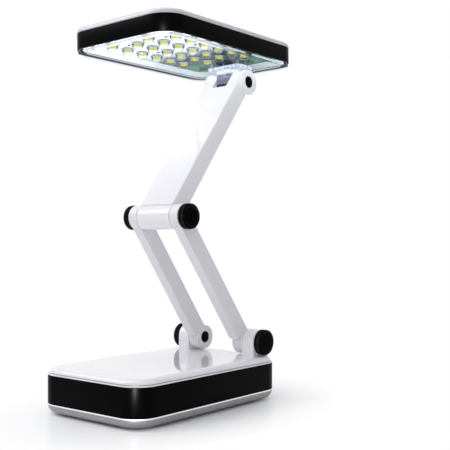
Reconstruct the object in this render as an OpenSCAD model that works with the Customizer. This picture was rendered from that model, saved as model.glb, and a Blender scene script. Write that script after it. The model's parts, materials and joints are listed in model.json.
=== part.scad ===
// Folding desk lamp: a slab base, two lower legs, one wide upper arm and a slab LED head.
// Millimetres. The origin is the middle of the feet plane under the base.
// X runs along the hinge pins, -Y is the free front end, +Y the hinge end, Z is up.

/* [Show] */
// Piece to show

/* [Case outline, shared by base and head] */
// Width along the hinge pins
case_w = 96; // [95:0.5:104]
// Length of the base from front end to hinge end
case_l = 150; // [148:0.5:158]
// Head shorter than the base by this much
head_short = 4; // [2:0.5:5]
// Plan radius of the four corners
case_r = 16; // [15:0.5:18]
// Wall of the two black bands
band_wall = 2.2; // [1.8:0.1:2.6]

/* [Base] */
// Rubber feet standing out below the tray
foot_h = 1.2; // [0.8:0.1:2]
// Height of the silver tray
tray_h = 6.6; // [6.4:0.1:7.4]
// Radius that rolls the tray side in to its underside
tray_roll = 6; // [4:0.5:6.2]
// Height of the black side band
band_h = 19.4; // [19:0.2:24]
// White deck standing above the band
deck_h = 4.6; // [4.2:0.1:5.4]
// Radius that rolls the deck side in to its top
deck_roll = 4; // [3:0.2:4]
// Deck set in from the band all round
deck_inset = 1.2; // [0.8:0.1:1.8]
// Floor of the tray
floor_t = 2; // [1.6:0.1:2.4]

/* [Leg hinge on the base] */
// Hinge pin in from the hinge end of the case
pivot_in = 10.7; // [10.6:0.1:13]
// Hinge pin above the deck
pivot_rise = 10; // [9.9:0.1:12]
// Radius of the rounded tops of the two lugs
lug_r = 9.4; // [9:0.1:9.4]
// Thickness of each lug
lug_t = 10.5; // [8:0.1:11]
// Rounding of the moulded edges of lugs and legs
edge_r = 0.8; // [0.4:0.1:1]
// Radius of the leg knuckles at the base
foot_knuckle_r = 9.3; // [8.8:0.1:9.4]

/* [Legs] */
// Pin to pin length of the legs
leg_len = 115.5; // [112:0.5:118]
// Forward lean of the legs from upright, degrees
leg_lean = 36.7; // [30:0.1:40]
// Thickness of each leg along the pins, at the elbow
leg_t = 7.8; // [7.4:0.1:8.6]
// Legs stand further apart at the base: inner faces by this much
leg_flare_in = 1.1; // [0.8:0.1:1.2]
// The same for the outer faces
leg_flare = 2.2; // [1.2:0.1:2.6]
// Leg front face ahead of the pin line
leg_front = 8.4; // [7.8:0.1:8.6]
// Leg back face behind the pin line
leg_back = 4.4; // [4:0.1:5]
// Radius of the elbow barrel
barrel_r = 8.9; // [8.7:0.1:9.1]

/* [Upper arm] */
// Pin to pin length of the upper arm
arm_len = 132.5; // [129:0.5:135]
// Backward lean of the upper arm from upright, degrees
arm_lean = 36.7; // [32:0.1:42]
// Width of the upper arm at the elbow
arm_w = 31; // [30:0.2:32]
// Each side of the arm stands out this much further at the head
arm_flare = 1.4; // [0.6:0.1:1.5]
// Radius of the two ears, also the arm front face ahead of the pin line
ear_r = 9; // [8.8:0.1:9.2]
// Arm back face behind the pin line
arm_back = 4.4; // [4:0.1:5]
// Width of the notch between the ears
notch_w = 14; // [13:0.2:15]
// Depth of the notch below the head pin
notch_deep = 11.5; // [11:0.1:13]
// Height of the round boss on each ear
boss_t = 1.7; // [1.5:0.1:2.2]

/* [Head] */
// Nose-down tilt of the head, degrees
head_tilt = 1; // [-10:0.5:20]
// Head pin in from the hinge end of the head
head_in = 22.6; // [21:0.1:24]
// Head pin to the underside of the lens
lens_drop = 10.5; // [10.1:0.1:12]
// Lens standing out below the black band
lens_out = 2.4; // [2:0.1:3]
// Height of the black band of the head
head_band_h = 11.5; // [11.2:0.1:14]
// Height of the silver-white top cover
cover_h = 3.7; // [3.6:0.1:4.4]
// Radius that rolls the cover side in to its top
cover_roll = 3.1; // [2:0.1:3.2]
// LED rows across the head
led_rows = 4; // [2:1:4]
// LEDs in each row
led_cols = 6; // [3:1:6]
// First and last LED row, in from the sides of the case
led_side = 21; // [19:0.5:23]
// Spacing along a row
led_pitch = 15.2; // [14:0.2:15.4]

/* [Clamping knobs] */
// Radius over the knurl of the two base knobs
base_knob_r = 9.5; // [8.8:0.1:9.5]
// The same for the two elbow knobs
elbow_knob_r = 9; // [8.8:0.1:9.4]
// Thickness of a knob
knob_t = 5.4; // [5.2:0.1:6.4]
// Grooves round a knob
knob_grooves = 44; // [30:2:60]

/* [Pins and gaps] */
// Radius of every hinge pin
pin_r = 2; // [1.8:0.1:2.2]
// Running clearance round a pin
run = 0.08; // [0.05:0.01:0.1]
// Gap between a leg and the upper arm folded between the legs
nest_gap = 0.4; // [0.35:0.05:0.5]
// Gap between a leg knuckle and its lug
lug_gap = 0.4; // [0.35:0.05:0.5]
// Gap behind a clamping knob
knob_gap = 0.3; // [0.3:0.05:0.5]

/* [Hidden] */
smooth = 72;
fine = 32;
tray_z = foot_h;
band_z = tray_z + tray_h;
deck_z = band_z + band_h;
deck_top = deck_z + deck_h;
deck_lip_t = 0.85;                      // thin lip under the raised deck
deck_wall = 2;
head_l = case_l - head_short;
$long = case_l;                         // length of the outline being drawn
lip_gap = 0.15;                         // slip fit of a lip inside a band
lip_in = band_wall + lip_gap;           // lips and skirts set in from the case outline
lip_t = 1.6;
post_r = 4;                             // screw posts
post_x = case_w / 2 - 12;
post_front_y = 28 - case_l / 2;
post_rear_y = case_l / 2 - 29;
screw_r = 1.3;
screw_fit = 0.06;                       // screw thread in its pilot hole
screw_head_r = 2.7;
screw_head_h = 2.1;
screw_sink_z = band_z - 1;              // ceiling of the screw wells under the tray

cell_r = 7.1;                           // AA cell
cell_l = 49.2;
cell_nub_l = 1.2;
cell_pitch = 15.2;
cell_count = 3;
box_wall = 1.6;
box_w = cell_pitch * (cell_count - 1) + 2 * cell_r + 2.6;
spring_room = 9.6;                      // contact plates and springs at the two ends of a cell
box_l = cell_l + cell_nub_l + spring_room;
contact_w = cell_pitch - 5.2;           // square contact plates
contact_t = 0.5;
spring_r = 4.4;                         // coned spring, narrower at each of its turns
spring_step = 0.6;
spring_rise = 1.15;
box_y = -20;                            // middle of the battery box
box_top = tray_z + floor_t + 2 * cell_r + 1.6;
cell_z = tray_z + floor_t + cell_r + 0.6;
door_t = 1.6;
door_lap = 2;
door_gap = 0.3;

pivot_y = case_l / 2 - pivot_in;
pivot_z = deck_top + pivot_rise;
elbow_y = pivot_y - leg_len * sin(leg_lean);
elbow_z = pivot_z + leg_len * cos(leg_lean);
hinge_y = elbow_y + arm_len * sin(arm_lean);
hinge_z = elbow_z + arm_len * cos(arm_lean);
pin_bore = pin_r + run;
leg_in = arm_w / 2 + nest_gap;          // inner face of a leg, from the middle
leg_out = leg_in + leg_t;
leg_step = 9;                           // front face of a leg stops here above its base pin
leg_step_y = 5;
leg_flare_mid = (leg_flare_in + leg_flare) / 2;
knuckle_step = 1.6;                     // base knuckles stand outside the upper arm by this much
knuckle_in = arm_w / 2 + knuckle_step;
knuckle_out = leg_out + leg_flare + 0.4;
ear_half = arm_w / 2 + arm_flare + 0.05;
lug_in = knuckle_out + lug_gap;
lug_out = lug_in + lug_t;
base_knob_x = lug_out + knob_gap;
elbow_knob_x = leg_out + knob_gap;
knob_bore_deep = knob_t - 1.6;
thread_end = knob_bore_deep - 0.5;      // how far a bolt runs into its knob
cap_r = 4.4;
cap_t = 2;
cap_dome = 0.5;
cap_fit = 0.06;
cap_ease = 0.45;                        // chamfer round the mouth of a cap's well
arm_edge_r = 1.1;                       // front edges and ear rims of the upper arm
boss_over = 0.7;                        // rim of an ear boss beyond the ear
boss_edge_r = 0.6;
notch_flare = 2.4;                      // rounded mouth of the notch between the ears
bolt_head_r = 3.8;
bolt_head_h = 2.2;
well_deep = cap_t + bolt_head_h + 0.1;  // round well for a bolt head and its cap
rail_start = 13;                        // hollow of a leg, from each pin
seat_t = 1.5;                           // thickness of the back covers

head_pin_y = head_l / 2 - head_in;      // head pin seen from the middle of the head
pin_to_band = lens_drop + lens_out;
cover_top = head_band_h + cover_h;
cover_ceiling = cover_top - 1.8;
lens_inset = 0.6;
lens_floor = 1.4;
lens_step_in = 6.4;                     // thick rim of the lens, from the case outline
lens_up = 3.4;
board_z = 5.6;
board_t = 1.4;
board_in = 4.6;
board_split_y = head_l / 2 - 32.5;      // LED board ends, driver board begins
led_row_pitch = (case_w - 2 * led_side) / (led_rows - 1);
led_first = head_l / 2 - 23;            // first LED ahead of the middle of the head
led_r = 4.1;                            // straw-hat LED: wide low dome on a flange
led_tip_z = 0.4;
led_dome_h = 3;
led_flange_r = 4.8;
cup_r = 2.3;
cup_h = 1.8;
chip_r = 1.25;
chip_bulge = 0.5;                       // phosphor stands out of its cup by this much
brim_r = 3.9;                           // white brim of a cup, flat on the board
brim_t = 0.25;
bracket_w = 13.2;
bracket_r = 8.6;
flange_w = 30;
flange_t = 2.2;
flange_l = 18;
bracket_post_x = 11.4;
bracket_post_y = 5.5;
head_post_x = case_w / 2 - 10;
head_post_ys = [13 - head_l / 2, -8, board_split_y - 4.4];
driver_x = case_w / 2 - 18;             // chokes, resistors and posts of the driver board
driver_y = head_l / 2 - 18;
driver_post = case_w / 2 - 14;

jack_x = 22;
jack_z = band_z + 8.8;
jack_r = 4;
jack_bore_r = 2.8;
jack_bore_l = 9.5;
jack_pin_r = 1;
jack_l = 14;
case_back = case_l / 2;
switch_x = -20;
switch_z = band_z + 8.8;
switch_travel = 4;
slider_w = 4;
slider_h = 3.4;
slider_out = 1.5;

board_y = case_l / 2 - 40;              // control board
board_w2 = 58;
board_l2 = 30;
board_low = tray_z + floor_t + 5;
pcb_t = 1.6;
foot_r = 5;
foot_x = case_w / 2 - 14;
foot_y = case_l / 2 - 14;
foot_sink = 0.5;

white = [0.93, 0.93, 0.95];
satin_white = [0.84, 0.84, 0.86];
silver = [0.72, 0.73, 0.75];
black = [0.05, 0.05, 0.055];
steel = [0.6, 0.61, 0.63];
green = [0.1, 0.38, 0.22];

// ---- shared shapes ----

// Case outline drawn smaller by `inset` all round.
module outline(inset = 0) {
  r = max(case_r - inset, 1);
  w = case_w - 2 * inset;
  l = $long - 2 * inset;
  square([w - 2 * r, l], center = true);
  square([w, l - 2 * r], center = true);
  for (x = [-1, 1], y = [-1, 1])
    translate([x * (w / 2 - r), y * (l / 2 - r)]) circle(r, $fn = smooth);
}

// Ring that follows the case outline.
module ring(inset, wall, z, h) {
  translate([0, 0, z]) linear_extrude(h)
    difference() {
      outline(inset);
      outline(inset + wall);
    }
}

module plate(inset, z, h) {
  translate([0, 0, z]) linear_extrude(h) outline(inset);
}

// Section of a slab `w` wide and `h` high whose lower corners are rolled to radius `e`.
module rolled_section(w, e, h) {
  intersection() {
    union() {
      translate([-w / 2 + e, 0]) square([w - 2 * e, h]);
      translate([-w / 2, e]) square([w, h - e]);
      for (s = [-1, 1]) translate([s * (w / 2 - e), e]) circle(e, $fn = smooth);
    }
    translate([-w / 2, 0]) square([w, h]);
  }
}

// Slab on the case outline with its lower edge rolled in.
module rolled_slab(inset, e, h) {
  r = case_r - inset;
  w = case_w - 2 * inset;
  l = $long - 2 * inset;
  for (x = [-1, 1], y = [-1, 1])
    translate([x * (w / 2 - r), y * (l / 2 - r), 0])
      rotate_extrude($fn = smooth)
        intersection() {
          rolled_section(2 * r, e, h);
          square([r + 1, h]);
        }
  translate([0, l / 2 - r, 0]) rotate([90, 0, 0])
    linear_extrude(l - 2 * r) rolled_section(w, e, h);
  translate([-w / 2 + r, 0, 0]) rotate([90, 0, 90])
    linear_extrude(w - 2 * r) rolled_section(l, e, h);
}

// Cylinder along X from x0 to x1.
module rod(r, x0, x1, fn = smooth) {
  translate([x0, 0, 0]) rotate([0, 90, 0]) cylinder(r = r, h = x1 - x0, $fn = fn);
}

// Rod whose two rims are rounded to `e`.
module soft_rod(r, x0, x1, e, fn = smooth) {
  translate([x0, 0, 0]) rotate([0, 90, 0]) rotate_extrude($fn = fn) {
    translate([0, e]) square([r, x1 - x0 - 2 * e]);
    square([r - e, x1 - x0]);
    for (z = [e, x1 - x0 - e]) translate([r - e, z]) circle(e, $fn = fine);
  }
}

// Block given by its low and high corners.
module block(a, b) {
  translate(a) cube([b[0] - a[0], b[1] - a[1], b[2] - a[2]]);
}

// Rectangle given by its corners, its own corners rounded to `e`.
module soft_square(a, b, e) {
  translate([a[0] + e, a[1]]) square([b[0] - a[0] - 2 * e, b[1] - a[1]]);
  translate([a[0], a[1] + e]) square([b[0] - a[0], b[1] - a[1] - 2 * e]);
  for (x = [a[0] + e, b[0] - e], y = [a[1] + e, b[1] - e]) translate([x, y]) circle(e, $fn = fine);
}

// Bar section with its two front edges eased; front is -Y of the section.
module bar_section(x0, x1, front, back, e) {
  translate([x0 + e, -front]) square([x1 - x0 - 2 * e, front + back]);
  translate([x0, -front + e]) square([x1 - x0, front + back - e]);
  for (x = [x0 + e, x1 - e]) translate([x, -front + e]) circle(e, $fn = fine);
}

// Both sides of the lamp.
module both() {
  children();
  mirror([1, 0, 0]) children();
}

module at_pivot() { translate([0, pivot_y, pivot_z]) rotate([leg_lean, 0, 0]) children(); }
module at_elbow() { translate([0, elbow_y, elbow_z]) children(); }
module at_arm() { at_elbow() rotate([-arm_lean, 0, 0]) children(); }
module at_head() {
  $long = head_l;
  translate([0, hinge_y, hinge_z]) rotate([head_tilt, 0, 0])
    translate([0, -head_pin_y, pin_to_band]) children();
}

// Domed round cap along +X, its rim plane at x = 0 and its dome beyond.
module cap() {
  ball = (cap_r * cap_r + cap_dome * cap_dome) / (2 * cap_dome);
  rotate([0, 90, 0]) {
    translate([0, 0, -cap_t]) cylinder(r = cap_r - cap_fit, h = cap_t, $fn = smooth);
    rotate_extrude($fn = smooth)
      intersection() {
        translate([0, cap_dome - ball]) circle(ball, $fn = 128);
        square([cap_r - cap_fit, 2 * cap_dome]);
      }
  }
}

// Well for a bolt head and its cap, opening toward +X at x = 0.
module well() {
  rod(cap_r, -well_deep, 1);
  rotate([0, 90, 0]) translate([0, 0, -cap_ease])
    cylinder(r1 = cap_r, r2 = cap_r + cap_ease + 0.01, h = cap_ease + 0.01, $fn = smooth);
}

// Clamping knob along +X with its seat at x = 0.
module knob(knob_r) {
  rim = 1.5;
  rotate([0, 90, 0])
    difference() {
      union() {
        linear_extrude(knob_t - 0.7)
          difference() {
            circle(knob_r, $fn = 96);
            for (i = [0:knob_grooves - 1]) rotate(i * 360 / knob_grooves)
              translate([knob_r + 0.12, 0]) circle(0.42, $fn = 16);
          }
        translate([0, 0, knob_t - 0.8])
          cylinder(r1 = knob_r - 0.55, r2 = knob_r - 1, h = 0.8, $fn = 96);
      }
      translate([0, 0, knob_t - 0.5]) cylinder(r = knob_r - rim - 0.4, h = 1, $fn = 96);
      translate([0, 0, -1]) cylinder(r = pin_bore, h = knob_bore_deep + 1, $fn = fine);
      translate([0, 0, -0.01]) difference() {
        cylinder(r = knob_r - rim, h = 2.6, $fn = 96);
        translate([0, 0, -1]) cylinder(r = 4.2, h = 5, $fn = fine);
      }
    }
}

// ---- base ----

module base_tray() {
  color(silver) difference() {
    union() {
      difference() {
        translate([0, 0, tray_z]) rolled_slab(0, tray_roll, tray_h);
        plate(tray_roll + 0.6, tray_z + floor_t, tray_h);
      }
      // lip that locates the band
      ring(lip_in, lip_t, band_z - 1, 4);
      plate_fill();
      for (x = [-1, 1], y = [post_front_y, post_rear_y])
        translate([x * post_x, y, tray_z + 0.5]) cylinder(r = post_r + 0.6, h = band_z - tray_z + 0.5, $fn = smooth);
      // battery box
      block([-box_w / 2 - box_wall, box_y - box_l / 2 - box_wall, tray_z + 0.5],
            [box_w / 2 + box_wall, box_y + box_l / 2 + box_wall, box_top + box_wall]);
      // standoffs for the control board
      for (x = [-1, 1], y = [-1, 1])
        translate([x * (board_w2 / 2 - 4), board_y + y * (board_l2 / 2 - 4), tray_z + 0.5])
          cylinder(r = 2.6, h = board_low - tray_z - 0.5, $fn = fine);
    }
    block([-box_w / 2, box_y - box_l / 2, tray_z - 1], [box_w / 2, box_y + box_l / 2, box_top]);
    // recess the door lies in
    block([-box_w / 2 - door_lap - door_gap, box_y - box_l / 2 - door_lap - door_gap, tray_z - 1],
          [box_w / 2 + door_lap + door_gap, box_y + box_l / 2 + door_lap + door_gap, tray_z + door_t]);
    for (x = [-1, 1], y = [post_front_y, post_rear_y]) translate([x * post_x, y, 0]) {
      cylinder(r = screw_head_r + 0.4, h = screw_sink_z, $fn = smooth);
      cylinder(r = screw_r + 0.25, h = 40, $fn = fine);
    }
    for (x = [-1, 1], y = [-1, 1])
      translate([x * foot_x, y * foot_y, 0])
        cylinder(r = foot_r + 0.1, h = tray_z + foot_sink, $fn = smooth);
    for (x = [-1, 1], y = [-1, 1])
      translate([x * (board_w2 / 2 - 4), board_y + y * (board_l2 / 2 - 4), tray_z + 2.4])
        cylinder(r = 1, h = 20, $fn = fine);
  }
}

// Solid shoulder between the rolled side and the locating lip.
module plate_fill() {
  ring(lip_in, tray_roll - 1, band_z - 3.2, 3.2);
}

module battery_door() {
  color(silver) difference() {
    union() {
      block([-box_w / 2 - door_lap, box_y - box_l / 2 - door_lap, tray_z],
            [box_w / 2 + door_lap, box_y + box_l / 2 + door_lap, tray_z + door_t]);
      // ridge that drops into the box opening
      difference() {
        block([-box_w / 2 + door_gap, box_y - box_l / 2 + door_gap, tray_z + door_t - 0.2],
              [box_w / 2 - door_gap, box_y + box_l / 2 - door_gap, tray_z + door_t + 1]);
        block([-box_w / 2 + 1.6, box_y - box_l / 2 + 1.6, tray_z + door_t - 0.2],
              [box_w / 2 - 1.6, box_y + box_l / 2 - 1.6, tray_z + 9]);
      }
    }
    // thumb grooves
    for (i = [0:4])
      block([-9, box_y + box_l * 0.3 + i * 2.4, tray_z - 1], [9, box_y + box_l * 0.3 + 1.2 + i * 2.4, tray_z + 0.5]);
  }
}

module battery_cells() {
  color([0.16, 0.33, 0.55]) for (i = [0:cell_count - 1]) {
    turn = i % 2 == 0 ? 1 : -1;
    translate([(i - (cell_count - 1) / 2) * cell_pitch, box_y, cell_z]) rotate([-90 * turn, 0, 0])
      rotate_extrude($fn = smooth) {
        translate([0, -cell_l / 2]) square([cell_r, cell_l]);
        translate([0, cell_l / 2 - 0.1]) square([2.7, cell_nub_l + 0.1]);
      }
  }
}

module battery_contacts() {
  color(steel) for (i = [0:cell_count - 1]) {
    turn = i % 2 == 0 ? 1 : -1;
    x = (i - (cell_count - 1) / 2) * cell_pitch;
    // flat plate at the nub, coned spring at the other end
    translate([x, box_y + turn * (box_l / 2 - 0.35), cell_z])
      cube([contact_w, contact_t, contact_w], center = true);
    translate([x, box_y - turn * (box_l / 2 - 0.35), cell_z]) {
      cube([contact_w, contact_t, contact_w], center = true);
      rotate([-90 * turn, 0, 0]) for (k = [0:3])
        translate([0, 0, 0.2 + k * spring_rise])
          difference() {
            cylinder(r = spring_r - k * spring_step, h = 0.75, $fn = fine);
            translate([0, 0, -1]) cylinder(r = spring_r - 0.9 - k * spring_step, h = 3, $fn = fine);
          }
      rotate([-90 * turn, 0, 0]) for (k = [0:2])
        translate([spring_r - 0.75 - k * spring_step, 0, 0.8 + k * spring_rise]) cube([0.6, 0.6, 1.2], center = true);
    }
  }
}

module control_board() {
  color(green) difference() {
    block([-board_w2 / 2, board_y - board_l2 / 2, board_low],
          [board_w2 / 2, board_y + board_l2 / 2, board_low + pcb_t]);
    for (x = [-1, 1], y = [-1, 1])
      translate([x * (board_w2 / 2 - 4), board_y + y * (board_l2 / 2 - 4), 0])
        cylinder(r = 1.2, h = 40, $fn = fine);
  }
}

module board_parts() {
  top = board_low + pcb_t;
  color([0.14, 0.14, 0.16]) {
    // charge controller, rectifier block, two filter capacitors, lead sockets
    block([-6, board_y - 4, top], [4, board_y + 4, top + 1.8]);
    block([10, board_y - 8, top], [16, board_y - 2, top + 3.2]);
    translate([-16, board_y + 2, top]) cylinder(r = 4, h = 9, $fn = smooth);
    translate([-16, board_y - 8, top]) cylinder(r = 3.1, h = 7, $fn = smooth);
    block([16, board_y + 6, top], [24, board_y + 12, top + 6]);
    block([-4, board_y + 8, top], [4, board_y + 12, top + 5]);
  }
}

module base_band() {
  color(black) difference() {
    ring(0, band_wall, band_z, band_h);
    translate([jack_x, case_back - band_wall - 3, jack_z]) rotate([-90, 0, 0])
      cylinder(r = jack_r + 0.2, h = 10, $fn = smooth);
    block([switch_x - (slider_w + switch_travel) / 2 - 0.5, case_back - band_wall - 3, switch_z - slider_h / 2 - 0.5],
          [switch_x + (slider_w + switch_travel) / 2 + 0.5, case_back + 3, switch_z + slider_h / 2 + 0.5]);
    // shallow finger dish round the switch
    block([switch_x - 8, case_back - 0.5, switch_z - 3.6], [switch_x + 8, case_back + 3, switch_z + 3.6]);
  }
}

module base_deck() {
  color(white) difference() {
    union() {
      // thin lip on the band, then the raised deck with its rolled edge
      plate(0.2, deck_z, deck_lip_t);
      difference() {
        translate([0, 0, deck_top]) mirror([0, 0, 1]) rolled_slab(deck_inset, deck_roll, deck_h);
        plate(deck_inset + deck_roll + 0.6, deck_z - 1, deck_h - deck_wall + 1);
      }
      ring(lip_in, lip_t, deck_z - 3, 3.1);
      for (x = [-1, 1], y = [post_front_y, post_rear_y])
        translate([x * post_x, y, band_z + 1]) cylinder(r = post_r, h = deck_top - band_z - 2, $fn = smooth);
      // stiffening ribs under the deck
      for (y = [-30, 8]) block([-case_w / 2 + lip_in + 1, y - 0.8, deck_z - 3.6], [case_w / 2 - lip_in - 1, y + 0.8, deck_top - 1]);
      // hinge lugs
      both() translate([0, pivot_y, 0]) {
        translate([0, 0, pivot_z]) soft_rod(lug_r, lug_in, lug_out, edge_r);
        translate([0, 0, deck_z + 0.5]) linear_extrude(pivot_z - deck_z - 0.5)
          soft_square([lug_in, -lug_r], [lug_out, lug_r], edge_r);
      }
    }
    translate([0, pivot_y, pivot_z]) rod(pin_bore, -60, 60, fine);
    for (x = [-1, 1], y = [post_front_y, post_rear_y])
      translate([x * post_x, y, 0]) cylinder(r = screw_r + screw_fit, h = deck_z - 2, $fn = fine);
  }
}

module case_screws() {
  color(steel) for (x = [-1, 1], y = [post_front_y, post_rear_y]) translate([x * post_x, y, 0])
    difference() {
      union() {
        translate([0, 0, screw_sink_z - screw_head_h]) cylinder(r = screw_head_r, h = screw_head_h, $fn = smooth);
        translate([0, 0, screw_sink_z - 0.1]) cylinder(r = screw_r, h = 12, $fn = fine);
      }
      // cross slot
      for (a = [0, 90]) translate([0, 0, screw_sink_z - screw_head_h]) rotate(a)
        cube([3, 0.6, 1.6], center = true);
    }
}

module feet() {
  color([0.12, 0.12, 0.12]) for (x = [-1, 1], y = [-1, 1]) translate([x * foot_x, y * foot_y, 0])
    rotate_extrude($fn = smooth)
      polygon([[0, 0], [foot_r - 0.4, 0], [foot_r, 0.4], [foot_r, tray_z + foot_sink], [0, tray_z + foot_sink]]);
}

module dc_jack() {
  color(black) translate([jack_x, case_back, jack_z]) difference() {
    union() {
      rotate([90, 0, 0]) cylinder(r = jack_r, h = band_wall + 1, $fn = smooth);
      block([-4.5, -band_wall - jack_l, -5.4], [4.5, -band_wall - 0.3, 5.2]);
    }
    rotate([90, 0, 0]) translate([0, 0, -1]) cylinder(r = jack_bore_r, h = jack_bore_l + 1, $fn = smooth);
  }
  // cradle ribs that the socket stands on
  color(black) for (s = [-1, 1])
    block([jack_x + s * 3 - 0.8, case_back - band_wall - jack_l, tray_z + floor_t],
          [jack_x + s * 3 + 0.8, case_back - tray_roll - 2, jack_z - 5.2]);
}

module dc_pin() {
  color(steel) translate([jack_x, case_back - jack_bore_l, jack_z]) rotate([-90, 0, 0]) {
    cylinder(r = jack_pin_r, h = jack_bore_l - 1.6, $fn = fine);
    translate([0, 0, jack_bore_l - 1.6]) cylinder(r1 = jack_pin_r, r2 = jack_pin_r * 0.6, h = 0.6, $fn = fine);
  }
}

module switch_body() {
  half = (slider_w + switch_travel) / 2;
  color([0.2, 0.2, 0.22]) translate([switch_x, case_back - band_wall, switch_z]) difference() {
    block([-half - 2.4, -8, -4.2], [half + 2.4, -0.2, 4.2]);
    // track for the slider foot
    block([-half - 0.6, -4.6, -slider_h / 2 - 0.5], [half + 0.6, 1, slider_h / 2 + 0.5]);
  }
  color(steel) for (i = [-1:1]) translate([switch_x + i * 3, case_back - band_wall - 8, switch_z])
    block([-0.4, -3, -0.8], [0.4, 0.1, 0.8]);
}

module switch_slider() {
  x0 = switch_x - switch_travel / 2;
  color([0.75, 0.75, 0.77]) difference() {
    block([x0 - slider_w / 2, case_back - band_wall - 4.2, switch_z - slider_h / 2],
          [x0 + slider_w / 2, case_back + slider_out - 0.5, switch_z + slider_h / 2]);
    // grip grooves
    for (i = [-1:1]) block([x0 + i * 1.2 - 0.25, case_back + slider_out - 0.9, switch_z - 3],
                           [x0 + i * 1.2 + 0.25, case_back + slider_out + 1, switch_z + 3]);
  }
}

// ---- legs ----

// Right-hand leg along +Z from its base pin.
module leg() {
  difference() {
    union() {
      leg_turn(leg_flare_in) leg_bar();
      leg_turn(leg_flare) leg_bar();
      soft_rod(foot_knuckle_r, knuckle_in, knuckle_out, edge_r * 0.8);
      translate([0, 0, leg_len]) soft_rod(barrel_r, leg_in, leg_out, edge_r * 0.4);
    }
    rod(pin_bore, 0, 60, fine);
    translate([0, 0, leg_len]) rod(pin_bore, 0, 60, fine);
    // well for the bolt head, open on the inner side
    translate([knuckle_in, 0, 0]) mirror([1, 0, 0]) well();
    // bar stopped where the stepped-out knuckle turns
    block([leg_in - 1, -12, -1], [knuckle_in, 12, 5.9]);
    // wiring hollow, open at the back
    leg_turn(leg_flare_mid) {
      block([leg_in + 1.7, -leg_front + 1.8, rail_start], [leg_out - 1.7, leg_back + 1, leg_len - rail_start]);
      block([leg_in + 1.1, leg_back - seat_t, rail_start - 1.4], [leg_out - 1.1, leg_back + 1, leg_len - rail_start + 1.4]);
    }
  }
  // cross ribs in the hollow
  leg_turn(leg_flare_mid) for (i = [1:3]) translate([0, 0, rail_start + i * (leg_len - 2 * rail_start) / 4])
    block([leg_in + 1.6, -leg_front + 1.6, -0.6], [leg_out - 1.6, leg_back - seat_t - 3, 0.6]);
}

// Turned out about the elbow so that the foot end stands `d` further from the middle.
module leg_turn(d) {
  translate([0, 0, leg_len]) rotate([0, -asin(d / leg_len), 0]) translate([0, 0, -leg_len]) children();
}

// Straight bar of a leg, its front face ending in a ledge above the knuckle.
module leg_bar() {
  difference() {
    translate([0, 0, 6]) linear_extrude(leg_len - 6)
      bar_section(leg_in, leg_out, leg_front, leg_back, edge_r);
    block([leg_in - 1, -leg_front - 1, 5], [leg_out + 1, -leg_step_y, leg_step]);
  }
}

module leg_cover() {
  side = 0.12;
  leg_turn(leg_flare_mid)
    block([leg_in + 1.1 + side, leg_back - seat_t, rail_start - 1.4 + side],
          [leg_out - 1.1 - side, leg_back, leg_len - rail_start + 1.4 - side]);
}

module leg_left() { color(satin_white) at_pivot() mirror([1, 0, 0]) leg(); }
module leg_right() { color(satin_white) at_pivot() leg(); }
module leg_cover_left() { color(satin_white) at_pivot() mirror([1, 0, 0]) leg_cover(); }
module leg_cover_right() { color(satin_white) at_pivot() leg_cover(); }

module leg_bolts() {
  head_x = knuckle_in + cap_t + 0.1;
  color(steel) at_pivot() both() {
    rod(bolt_head_r, head_x, head_x + bolt_head_h);
    rod(pin_r, head_x + bolt_head_h - 0.1, base_knob_x + thread_end, fine);
  }
}

module leg_caps() {
  color(black) at_pivot() both() translate([knuckle_in, 0, 0]) mirror([1, 0, 0]) cap();
}

module elbow_axle() {
  color(steel) at_elbow() rod(pin_r, -elbow_knob_x - thread_end, elbow_knob_x + thread_end, fine);
}

module knob_base_right() { color(black) at_pivot() translate([base_knob_x, 0, 0]) knob(base_knob_r); }
module knob_base_left() {
  color(black) at_pivot() mirror([1, 0, 0]) translate([base_knob_x, 0, 0]) knob(base_knob_r);
}
module knob_elbow_right() { color(black) at_elbow() translate([elbow_knob_x, 0, 0]) knob(elbow_knob_r); }
module knob_elbow_left() {
  color(black) at_elbow() mirror([1, 0, 0]) translate([elbow_knob_x, 0, 0]) knob(elbow_knob_r);
}

// ---- upper arm ----

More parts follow.
